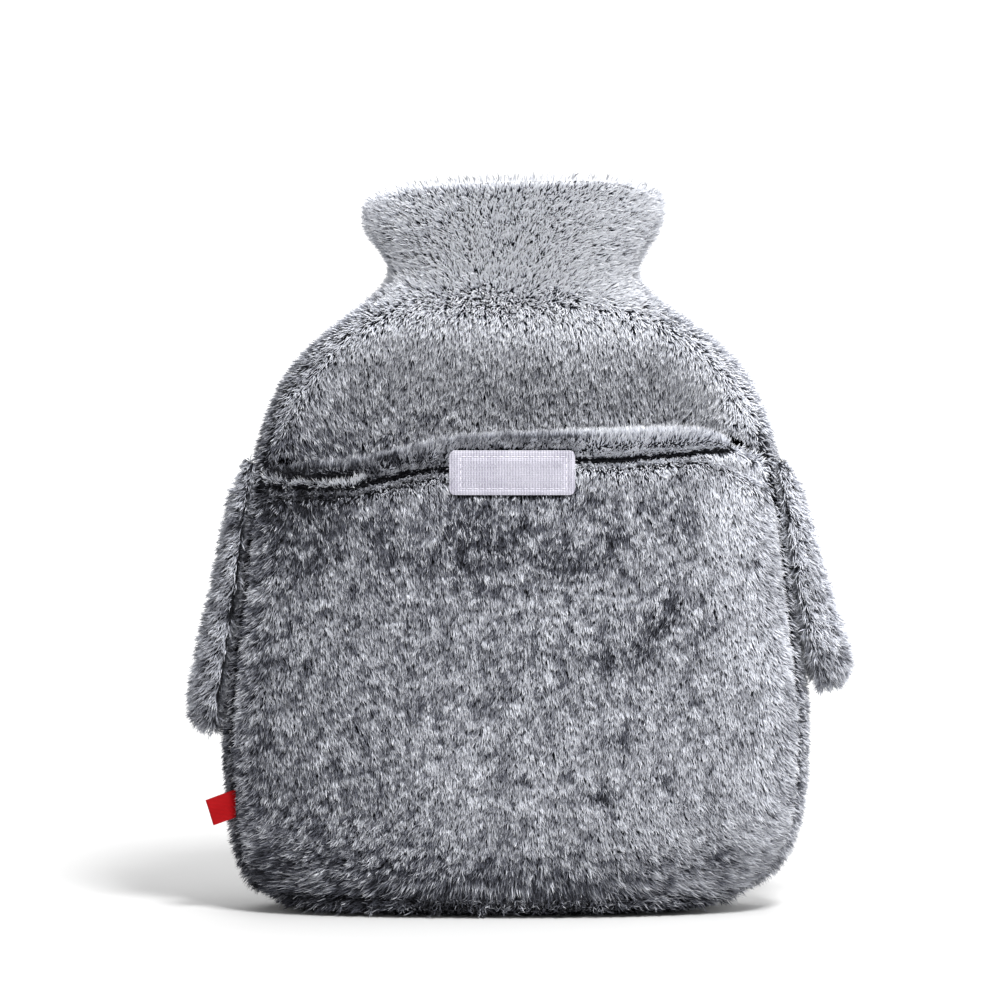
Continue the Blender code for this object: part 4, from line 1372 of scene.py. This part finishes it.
class RepeatTree(PieceTree):
    """The node tree that sets one small part at each of a mesh's points.

    The points carry repeat_along, the way the part's own Z goes, and repeat_out, the way its Y faces.
    """

    NAME = "repeat"
    SOCKETS = {"Part": "Object", "Sway": "Float", "Finish": "Material"}

    def build(self) -> None:
        """Adds the tree's nodes."""
        tree, given = self.tree, self.given
        way, out = (self.attribute(f"repeat_{name}", "FLOAT_VECTOR") for name in ("along", "out"))
        sway = vector_calc(tree, "SCALE", self.drawn_vector(SEED), given["Sway"])
        rotation = self.turned(vector_calc(tree, "ADD", way, sway), out)
        spots = add(tree, "GeometryNodeMeshToPoints", {"Mesh": given["Geometry"]}).outputs[0]
        real = self.repeated(given["Part"], spots, rotation, self.drawn(0.92, 1.08, SEED + 1))
        self.close(real, "repeat_*")

    def lay(
        self,
        name: str,
        part: bpy.types.Object,
        spots: list[tuple[Vector, Vector, Vector]],
        finish: bpy.types.Material,
        sway: float,
    ) -> bpy.types.Object:
        """Lays one part at each spot.

        Args:
            name: the new piece's name.
            part: the part, which is taken out of the scene afterwards.
            spots: for each copy its place, the way it goes and the way it faces.
            finish: its material.
            sway: how unevenly the copies go.

        Returns:
            All copies as one plain mesh.
        """
        mesh = bpy.data.meshes.new(name)
        mesh.from_pydata([tuple(s[0]) for s in spots], [], [])
        store(mesh, "repeat_along", np.array([tuple(s[1]) for s in spots]))
        store(mesh, "repeat_out", np.array([tuple(s[2]) for s in spots]))
        made = self.run(name, mesh, {"Part": part, "Sway": sway, "Finish": finish})
        bpy.data.objects.remove(part)
        return made


def seen_from_back(surface: BVHTree, x: float, z: float) -> tuple[Vector | None, Vector | None]:
    """The place and normal of a surface's nearest point from the back, at an x and height in millimetres."""
    return surface.ray_cast(Vector((x * MM, -0.2, z * MM)), Vector((0.0, 1.0, 0.0)))[:2]


def bent_wire(name: str, line: list[tuple[float, float]], radius: float, sides: int) -> bpy.types.Object:
    """A round wire that follows a line in its own YZ plane and has closed, blunt ends.

    Args:
        name: the new object's name.
        line: the y and z of the points that it follows.
        radius: of the wire.
        sides: of its section.

    Returns:
        The wire, with smooth faces that look outwards.
    """
    shape = bmesh.new()
    turns = [2 * math.pi * n / sides for n in range(sides)]
    rings = []
    for k, (y, z) in enumerate(line):
        y0, z0 = line[max(k - 1, 0)]
        y1, z1 = line[min(k + 1, len(line) - 1)]
        run = Vector((0.0, y1 - y0, z1 - z0)).normalized()
        side = Vector((1.0, 0.0, 0.0))
        up = run.cross(side)
        thick = radius * (0.6 if k in (0, len(line) - 1) else 1.0)
        middle = Vector((0.0, y, z))
        ring = [(side * math.cos(turn) + up * math.sin(turn)) * thick for turn in turns]
        rings.append([shape.verts.new(middle + point) for point in ring])
    for low, high in zip(rings, rings[1:]):
        for n in range(sides):
            shape.faces.new((low[n], low[(n + 1) % sides], high[(n + 1) % sides], high[n]))
    shape.faces.new(rings[0][::-1])
    shape.faces.new(rings[-1])
    bmesh.ops.recalc_face_normals(shape, faces=shape.faces[:])
    mesh = bpy.data.meshes.new(name)
    shape.to_mesh(mesh)
    shape.free()
    mesh.shade_smooth()
    return make_object(name, mesh)


def stitch_part(length: float, radius: float, rise: float) -> bpy.types.Object:
    """One stitch: a short arch of thread whose ends go down into the cloth.

    Args:
        length: from hole to hole.
        radius: of the thread.
        rise: of the thread's middle above the cloth.

    Returns:
        The stitch, along Z, with its arch towards Y.
    """
    steps = np.linspace(-0.5, 0.5, 7)
    line = [(rise * (1.0 - (2.0 * t) ** 4) - 1.6 * radius * (2.0 * t) ** 4, t * length) for t in steps]
    return bent_wire("stitch", line, radius, 6)


def sheet_of_grid(name: str, outer: np.ndarray, inner: np.ndarray) -> bpy.types.Object:
    """A thin closed sheet between two grids of points.

    Args:
        name: the new object's name.
        outer: rows and columns of points on the side that faces outwards.
        inner: the same on its other side.

    Returns:
        The sheet, with smooth faces.
    """
    rows, columns = outer.shape[:2]
    count = rows * columns
    faces = []
    for r in range(rows - 1):
        for c in range(columns - 1):
            a = r * columns + c
            faces.append((a, a + 1, a + columns + 1, a + columns))
            faces.append((count + a, count + a + columns, count + a + columns + 1, count + a + 1))
    rim = [(0, c) for c in range(columns)] + [(r, columns - 1) for r in range(1, rows)]
    rim += [(rows - 1, c) for c in range(columns - 2, -1, -1)] + [(r, 0) for r in range(rows - 2, 0, -1)]
    order = [r * columns + c for r, c in rim]
    for a, b in zip(order, order[1:] + order[:1]):
        faces.append((b, a, count + a, count + b))
    mesh = bpy.data.meshes.new(name)
    mesh.from_pydata(np.concatenate([outer.reshape(-1, 3), inner.reshape(-1, 3)]).tolist(), [], faces)
    shape = bmesh.new()
    shape.from_mesh(mesh)
    bmesh.ops.recalc_face_normals(shape, faces=shape.faces[:])
    shape.to_mesh(mesh)
    shape.free()
    mesh.shade_smooth()
    mesh.set_sharp_from_angle(angle=math.radians(60.0))
    return make_object(name, mesh)


@dataclass
class ClosureTape:
    """The white hook tape on the hem: woven ground, a field of small hooks and a stitched border.

    Sizes are in millimetres.

    Attributes:
        node: the solid that it stands for.
        corner: radius of its corners.
        thickness: of the woven ground.
        hook_height: of the hooks on it.
        step: from point to point of its surface.
        border: from its edge to the stitching, across and up.
        hook_pitch: from hook to hook, across and up.
        hook_mm: radius of a hook's wire.
        stitch_mm: length of a stitch.
        thread_mm: radius of its thread.
        furrow: half width and depth of the furrow that the stitching pulls in.
        edge: width and drop of its rounded edge.
    """

    node: str = "closure_strip"
    corner: float = 2.6
    thickness: float = 0.8
    hook_height: float = 0.75
    step: float = 0.7
    border: tuple[float, float] = (5.0, 2.8)
    hook_pitch: tuple[float, float] = (1.25, 1.25)
    hook_mm: float = 0.13
    stitch_mm: float = 2.3
    thread_mm: float = 0.2
    furrow: tuple[float, float] = (0.9, 0.3)
    edge: tuple[float, float] = (1.2, 0.25)

    def face(self, x: np.ndarray, z: np.ndarray) -> np.ndarray:
        """The y of the woven ground's outer side at places on it, in millimetres."""
        solid = tree_of(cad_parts[self.node].data)
        inside = 0.985
        middle_x, middle_z = (TAPE_LEFT + TAPE_RIGHT) / 2, (TAPE_BOTTOM + TAPE_TOP) / 2
        across, up = middle_x + (x - middle_x) * inside, middle_z + (z - middle_z) * inside
        found = np.zeros(x.shape)
        for spot in np.ndindex(x.shape):
            found[spot] = seen_from_back(solid, across[spot], up[spot])[0].y / MM
        return found + self.hook_height

    def build(self, repeat: RepeatTree) -> list[bpy.types.Object]:
        """Builds and dresses the tape.

        Args:
            repeat: the tree that lays hooks and stitches.

        Returns:
            The woven ground, its hooks and its stitches.
        """
        columns = np.linspace(TAPE_LEFT, TAPE_RIGHT, int((TAPE_RIGHT - TAPE_LEFT) / self.step))
        inset = np.minimum(columns - TAPE_LEFT, TAPE_RIGHT - columns)
        part = 1.0 - np.clip(inset / self.corner, 0.0, 1.0)
        cut = self.corner * (1.0 - np.sqrt(1.0 - part**2))
        share = np.linspace(0.0, 1.0, int((TAPE_TOP - TAPE_BOTTOM) / self.step))[:, None]
        z = TAPE_BOTTOM + cut + (TAPE_TOP - TAPE_BOTTOM - 2 * cut) * share
        x = np.tile(columns, (len(share), 1))
        y = self.face(x, z)
        for _ in range(6):
            y[1:-1, 1:-1] = (y[1:-1, :-2] + y[1:-1, 2:] + y[:-2, 1:-1] + y[2:, 1:-1]) / 4
        sewn = np.exp(-((line_distance(x, z, self.sewn_line()) / self.furrow[0]) ** 2))
        margins = [x - TAPE_LEFT, TAPE_RIGHT - x, z - TAPE_BOTTOM, TAPE_TOP - z]
        edge = ramp(np.minimum.reduce(margins), self.edge[0], 0)
        y = y + self.furrow[1] * sewn + self.edge[1] * edge
        outer = np.stack([x, y, z], -1) * MM
        inner = outer + np.array([0.0, self.thickness * MM, 0.0])
        ground = sheet_of_grid("closure_tape", outer, inner)
        ground.data.materials.append(WOVEN_TAPE.material())
        surface = tree_of(ground.data)
        hooks = repeat.lay(
            "closure_tape_hooks",
            self.hook(),
            self.hook_spots(surface),
            HOOK_NYLON.material(),
            sway=0.25,
        )
        stitches = repeat.lay(
            "closure_tape_stitches",
            stitch_part(self.stitch_mm * MM, self.thread_mm * MM, 0.1 * MM),
            stitch_spots(surface, self.sewn_line(), self.stitch_mm + 0.5),
            WHITE_THREAD.material(),
            sway=0.05,
        )
        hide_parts(self.node)
        for piece in (ground, hooks, stitches):
            hand_over(piece)
        return [ground, hooks, stitches]

    def sewn_line(self) -> Line:
        """The stitching's corners, as x and height."""
        left, right = TAPE_LEFT + self.border[0], TAPE_RIGHT - self.border[0] + 1.0
        low, high = TAPE_BOTTOM + self.border[1], TAPE_TOP - self.border[1]
        return ((left, low), (right, low), (right, high), (left, high), (left, low))

    def hook(self) -> bpy.types.Object:
        """One hook of the hook field, standing along Z and curled over towards Y."""
        height = self.hook_height * MM
        curl = ((0.0, -0.2), (0.0, 0.5), (0.12, 0.85), (0.42, 0.95), (0.55, 0.7))
        return bent_wire("hook", [(y * height, z * height) for y, z in curl], self.hook_mm * MM, 4)

    def hook_spots(self, surface: BVHTree) -> list[tuple[Vector, Vector, Vector]]:
        """Where the hooks stand: in rows over the whole tape, inside its selvedge."""
        spots = []
        wide, high = self.hook_pitch
        rows = np.arange(TAPE_BOTTOM + 1.6, TAPE_TOP - 1.2, high)
        for k, z in enumerate(rows):
            for x in np.arange(TAPE_LEFT + 1.8 + (k % 2) * wide / 2, TAPE_RIGHT - 1.4, wide):
                if line_distance(np.array([x]), np.array([z]), self.sewn_line())[0] < 0.7:
                    continue
                place, normal = seen_from_back(surface, x, z)
                spots.append((place, normal, Vector((0.0, 0.0, 1.0 if k % 2 else -1.0))))
        return spots


def stitch_spots(surface: BVHTree, line: Line, pitch: float) -> list[tuple[Vector, Vector, Vector]]:
    """Where the stitches along a line lie on a surface, as seen from the back.

    Args:
        surface: what they lie on.
        line: the seam's corners, as x and height in millimetres.
        pitch: from stitch to stitch in millimetres.

    Returns:
        For each stitch its middle, the way it goes and the way it faces.
    """
    spots = []
    for (x0, z0), (x1, z1) in zip(line, line[1:]):
        length = math.hypot(x1 - x0, z1 - z0)
        count = max(round(length / pitch), 1)
        for k in range(count):
            share = (k + 0.5) / count
            x, z = x0 + (x1 - x0) * share, z0 + (z1 - z0) * share
            place, normal = seen_from_back(surface, x, z)
            if place is not None:
                spots.append((place, Vector((x1 - x0, 0.0, z1 - z0)), normal))
    return spots


@dataclass
class HemStitches:
    """The lockstitch that holds the turned hem down, in the groove beside the tape. Sizes are in millimetres.

    Attributes:
        pitch: from stitch to stitch.
        radius: of the thread.
        above: how far the thread lies above the backing, on the pile that it presses down.
    """

    pitch: float = 3.2
    radius: float = 0.22
    above: float = 1.2

    def build(self, repeat: RepeatTree, backing: bpy.types.Object) -> bpy.types.Object:
        """Builds and dresses the stitches.

        Args:
            repeat: the tree that lays them.
            backing: the sheet that they go through.

        Returns:
            The stitches.
        """
        surface = tree_of(backing.data)
        spots = []
        for line in (STITCH_LEFT[1:], STITCH_RIGHT[:-2]):
            spots += stitch_spots(surface, line, self.pitch)
        raised = [(place + facing * self.above * MM, way, facing) for place, way, facing in spots]
        part = stitch_part(0.8 * self.pitch * MM, self.radius * MM, 0.3 * MM)
        stitches = repeat.lay("hem_stitches", part, raised, GREY_THREAD.material(), sway=0.08)
        hand_over(stitches)
        return stitches


@dataclass
class LabelRibbon:
    """The bare red ribbon, folded over and sewn into the left seam. Sizes are in millimetres.

    Attributes:
        node: the solid that it stands for.
        root: where it leaves the seam.
        out: the way it points.
        side: across its layers.
        up: across its width.
        length: from the seam to its fold.
        width: of the ribbon.
        layer: thickness of one layer.
        opening: between its layers at the fold.
        bow: how far its near layer bows out between the seam and the fold.
        wave: how far its fold waves to and fro.
        slant: how far its root runs in or out for each millimetre up its width.
    """

    node: str = "label_tab"
    root: tuple[float, float, float] = (-127.26, -14.42, 49.7)
    out: tuple[float, float, float] = (-0.91, -0.2811, -0.3049)
    side: tuple[float, float, float] = (0.2951, -0.9555, 0.0)
    up: tuple[float, float, float] = (-0.2913, -0.09, 0.9524)
    length: float = 12.8
    width: float = 12.0
    layer: float = 0.42
    opening: float = 0.7
    bow: float = 0.22
    wave: float = 0.18
    slant: float = -0.3202

    def loop(self, half: float, rise: float) -> np.ndarray:
        """One line round the fold: out along one layer and back along the other.

        Args:
            half: half the distance between the layers.
            rise: the line's height on the ribbon.

        Returns:
            The line's points.
        """
        end = self.length - self.layer - self.opening / 2
        runs = np.linspace(rise * self.slant, end, 22)[:-1]
        turns = np.linspace(-math.pi / 2, math.pi / 2, 9)
        bow = self.bow * np.sin(math.pi * (runs + 1.0) / end)
        first = [(r, -half - b, rise) for r, b in zip(runs, bow)]
        fold = [(end + half * math.cos(t), half * math.sin(t), rise) for t in turns]
        last = [(r, half + 0.4 * b, rise) for r, b in zip(runs[::-1], bow[::-1])]
        return np.array(first + fold + last)

    def build(self) -> bpy.types.Object:
        """Builds and dresses the ribbon."""
        rises = np.linspace(-self.width / 2, self.width / 2, 17)
        axes = np.array([self.out, self.side, self.up])
        shifts = self.wave * np.sin(rises * 0.55 + 0.6)
        outer, inner = [], []
        for rise, shift in zip(rises, shifts):
            for rows, half in ((outer, self.opening / 2 + self.layer), (inner, self.opening / 2)):
                line = self.loop(half, rise)
                line[:, 1] += shift * np.clip(line[:, 0] / self.length, 0.0, 1.0)
                rows.append(np.array(self.root) + line @ axes)
        ribbon = sheet_of_grid("label_ribbon", np.array(outer) * MM, np.array(inner) * MM)
        ribbon.data.materials.append(SATIN_RIBBON.material())
        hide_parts(self.node)
        hand_over(ribbon)
        return ribbon


# Studio


@dataclass
class Studio:
    """A white floor, soft light from the right and the camera at the photograph's angle.

    Attributes:
        lens_mm: the camera's focal length.
        field: how wide its view is at the cover.
        aim: where it looks.
        elevation: how far above the horizon it stands, in degrees.
        floor_radius: of the floor's flat part.
        floor_rise: how high the floor sweeps up at its edge.
        ambient: how bright the light from all round is.
        lamps: each light's name, place, size, power in watts, and target where that isn't the cover.
    """

    lens_mm: float = 250.0
    field: float = 0.45
    aim: tuple[float, float, float] = (-7.2 * MM, -30.0 * MM, 189.0 * MM)
    elevation: float = 4.5
    floor_radius: float = 3.3
    floor_rise: float = 1.2
    ambient: float = 0.53
    lamps: tuple[tuple, ...] = (
        ("key", (0.62, -1.2, 2.0), 0.6, 74.0),
        ("fill", (-1.2, -1.4, 0.7), 1.2, 5.0),
        ("top", (0.3, 0.1, 1.7), 1.2, 8.0),
        ("side", (1.3, -0.1, 0.6), 0.8, 11.0),
        ("backdrop", (0.0, 2.2, 2.6), 2.6, 170.0, (0.0, 4.0, 0.2)),
    )

    def floor(self) -> None:
        """Lays the round floor, which sweeps up all round, farther away than the camera stands."""
        rise, sides = self.floor_rise, 96
        turns = np.linspace(0.0, math.pi / 2, 25)
        run = [(self.floor_radius + rise * math.sin(t), rise * (1.0 - math.cos(t))) for t in turns]
        angles = np.linspace(0.0, 2.0 * math.pi, sides, endpoint=False)
        points = [(r * math.cos(a), r * math.sin(a), z) for r, z in run for a in angles]
        faces = [tuple(range(sides))]
        for k in range(len(run) - 1):
            for j in range(sides):
                near, far = k * sides, (k + 1) * sides
                faces.append((near + j, far + j, far + (j + 1) % sides, near + (j + 1) % sides))
        mesh = bpy.data.meshes.new("floor")
        mesh.from_pydata(points, [], faces)
        mesh.shade_smooth()
        made = make_object("floor", mesh)
        made.data.materials.append(PAINTED_FLOOR.material())

    def light(
        self,
        name: str,
        place: tuple[float, float, float],
        size: float,
        power: float,
        target: tuple[float, float, float] | None = None,
    ) -> None:
        """Hangs a soft light.

        Args:
            name: the light's name.
            place: where it hangs.
            size: its width and height.
            power: in watts.
            target: what it faces, which is the cover if nothing is given.
        """
        lamp = bpy.data.lights.new(name, "AREA")
        lamp.size = size
        lamp.energy = power
        made = bpy.data.objects.new(name, lamp)
        bpy.context.scene.collection.objects.link(made)
        made.location = place
        facing = Vector(target or self.aim) - Vector(place)
        made.rotation_euler = facing.to_track_quat("-Z", "Y").to_euler()

    def world(self) -> None:
        """Makes the light from all round, and a white background."""
        world = bpy.data.worlds.new("studio")
        world.use_nodes = True
        tree = world.node_tree
        lit, seen = tree.nodes["Background"], add(tree, "ShaderNodeBackground")
        for background, strength in ((lit, self.ambient), (seen, 1.0)):
            background.inputs["Color"].default_value = (1.0, 1.0, 1.0, 1.0)
            background.inputs["Strength"].default_value = strength
        camera_ray = add(tree, "ShaderNodeLightPath").outputs["Is Camera Ray"]
        both = add(tree, "ShaderNodeMixShader", {0: camera_ray, 1: lit.outputs[0], 2: seen.outputs[0]})
        tree.links.new(both.outputs[0], tree.nodes["World Output"].inputs["Surface"])
        bpy.context.scene.world = world

    def camera(self) -> None:
        """Sets up the camera."""
        lens = bpy.data.cameras.new("camera")
        lens.lens = self.lens_mm
        made = bpy.data.objects.new("camera", lens)
        bpy.context.scene.collection.objects.link(made)
        distance = self.field * self.lens_mm / lens.sensor_width
        rise = math.radians(self.elevation)
        back = Vector((0.0, -math.cos(rise), math.sin(rise)))
        made.location = Vector(self.aim) + back * distance
        made.rotation_euler = (-back).to_track_quat("-Z", "Y").to_euler()
        bpy.context.scene.camera = made

    def build(self) -> None:
        """Builds the studio."""
        self.floor()
        for lamp in self.lamps:
            self.light(*lamp)
        self.world()
        self.camera()
        bpy.context.scene.view_settings.view_transform = "Standard"


# Where the pocket's pile is unlike the rest, as x and height in millimetres.
# The hollows are sunk and darkened, partly as painted shade; the ridges are lightened, partly as a painted
# highlight.
HEM_HOLLOWS = (
    ((-112.0, 202.4), (-104.0, 202.3), (-95.0, 201.8)),
    ((-111.5, 201.0), (-104.0, 200.9), (-95.0, 200.5)),
    ((-111.0, 199.6), (-104.0, 199.4), (-95.0, 199.2)),
    ((-93.0, 201.0), (-87.0, 200.2), (-80.0, 200.4), (-70.0, 201.2)),
    ((-92.0, 199.7), (-86.0, 198.9), (-79.0, 199.0), (-70.5, 199.9)),
    ((-86.0, 197.7), (-79.0, 197.6), (-71.5, 198.7)),
    ((-66.0, 206.4), (-59.0, 207.2), (-51.5, 207.6)),
    ((-62.0, 205.0), (-55.0, 205.6)),
)
HEM_RIDGES = (
    ((-117.5, 200.6), (-110.7, 196.6), (-101.7, 195.9), (-92.7, 196.2)),
    ((-92.7, 196.2), (-81.5, 195.2), (-73.8, 195.4), (-68.0, 198.6)),
    ((-111.0, 204.0), (-103.0, 204.3), (-95.0, 204.1)),
    ((-91.0, 203.0), (-83.0, 202.8)),
)


def ruffles_and_shading(*rows: tuple[float, float, float, float], **habits) -> list[RuffleOrShading]:
    """Ruffles and painted shading from rows of x, height, reach and tone, with the habits that they share."""
    return [RuffleOrShading(*row, **habits) for row in rows]


POCKET_RUFFLES_AND_SHADING = (
    # The shaded pile under the hem.
    *ruffles_and_shading(
        (-104, 191, 9, -0.45), (-91, 189, 9, -0.5), (-80, 187, 7, -0.4), (-98, 179, 9, -0.4),
        (-110, 183, 8, -0.4), (-85, 173, 7, -0.4), (-104, 167, 8, -0.3), (-93, 159, 6, -0.35),
        (-76, 166, 6, -0.2), (-64, 178, 8, -0.25),
    ),
    # The shaded pile under the tape.
    *ruffles_and_shading(
        (-31, 181, 9, -0.35), (-17, 180, 10, -0.4), (-26, 168, 10, -0.35), (-8, 168, 10, -0.4),
        (-19, 157, 8, -0.35), (4, 178, 7, -0.35), (13, 166, 8, -0.4), (25, 162, 8, -0.35),
        (-53, 172, 7, -0.35), (-56, 161, 6, -0.35), (-40, 162, 7, -0.35), (36, 189, 7, -0.4),
        (44, 177, 7, -0.4), (40, 166, 6, -0.35),
    ),
    # The brushed streaks on the right, and the dark spots by them.
    *ruffles_and_shading((56, 124, 7, -0.65), (64, 136, 7, -0.65), (73, 145, 6, -0.4), flow=(-0.6, -1.0), strength=0.8),
    *ruffles_and_shading((40, 121, 6, -0.4), (86, 133, 5, -0.35), (74, 181, 6, -0.5), (62, 187, 5, -0.3)),
    # The dimple, and the small dents round it, with painted shade in each.
    RuffleOrShading(39, 59, 5, -0.8, flow=(0.0, -1.0), strength=0.9),
    *ruffles_and_shading(
        (67, 65, 4, -0.64), (87, 54, 6, -0.4), (101, 79, 6, -0.32), (47, 83, 5, -0.4), (123, 54, 5, -0.32),
        (92, 29, 7, -0.25),
    ),
    # The end of the hem.
    RuffleOrShading(103, 217, 8, 0.2, flow=(0.6, 1.0), strength=0.9, growth=0.8),
    # Painted light on the pile on the right; the first two also brush it down and a little to the left.
    *ruffles_and_shading((100, 197, 12, 0.3), (96, 178, 14, 0.2), flow=(-0.3, -1.0), strength=0.6),
    *ruffles_and_shading((112, 126, 18, 0.15), (60, 216, 12, 0.25), (88, 218, 10, 0.25)),
)
RIGHT_ARM_DARKER_SPOTS = tuple(ruffles_and_shading((140, 114, 9, -0.7), (132, 150, 8, -0.3)))

PANELS = (
    PocketPanel(
        node="back_lower_panel",
        name="pocket",
        blades=95000,
        core=(30 * MM, 10 * MM, 40 * MM),
        flat=(0.27, 0.24),
        area=0.062,
        edges=(0.0,),
        part_names=("left", "right"),
        rim_above=195 * MM,
        ruffles_and_shading=POCKET_RUFFLES_AND_SHADING,
        partings=(STITCH_LEFT, STITCH_RIGHT, *HEM_HOLLOWS),
        ridges=HEM_RIDGES,
        finer=2,
        broad_rounds=12,
    ),
    UpperPanel(
        node="back_upper_panel",
        name="shoulders",
        blades=70000,
        core=(60 * MM, 45 * MM, 40 * MM),
        flat=(0.25, 0.16),
        area=0.031,
        rim_above=322 * MM,
    ),
    FrontPanel(
        node="front_panel",
        name="front",
        blades=60000,
        core=(30 * MM, -3 * MM, 40 * MM),
        flat=(0.38, 0.39),
        area=0.125,
        edges=(0.0,),
        part_names=("left", "right"),
        rim_above=322 * MM,
        over_seam=-0.7,
        under_seam=-0.8,
    ),
    Flipper(node="arm_left", name="arm_left", blades=22000, lean=-0.6),
    Flipper(node="arm_right", name="arm_right", blades=22000, lean=0.5, ruffles_and_shading=RIGHT_ARM_DARKER_SPOTS),
)


def main() -> None:
    """Builds the cover's pieces in order."""
    logging.basicConfig(level=logging.INFO, format="%(message)s")
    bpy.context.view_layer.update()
    fur = FROSTED_PILE.material()
    knit = KNIT_BACKING.material()
    pile = PileTree()
    pieces = []
    for panel in PANELS:
        pieces += panel.build(pile, fur, knit)
    pile.clear_away()
    repeat = RepeatTree()
    pieces += ClosureTape().build(repeat)
    pieces.append(HemStitches().build(repeat, pieces[0]))
    pieces.append(LabelRibbon().build())
    Studio().build()
    total = sum(len(face.vertices) - 2 for piece in pieces for face in piece.data.polygons)
    LOG.info("%d pieces, %d triangles", len(pieces), total)


if __name__ == "__main__":
    main()
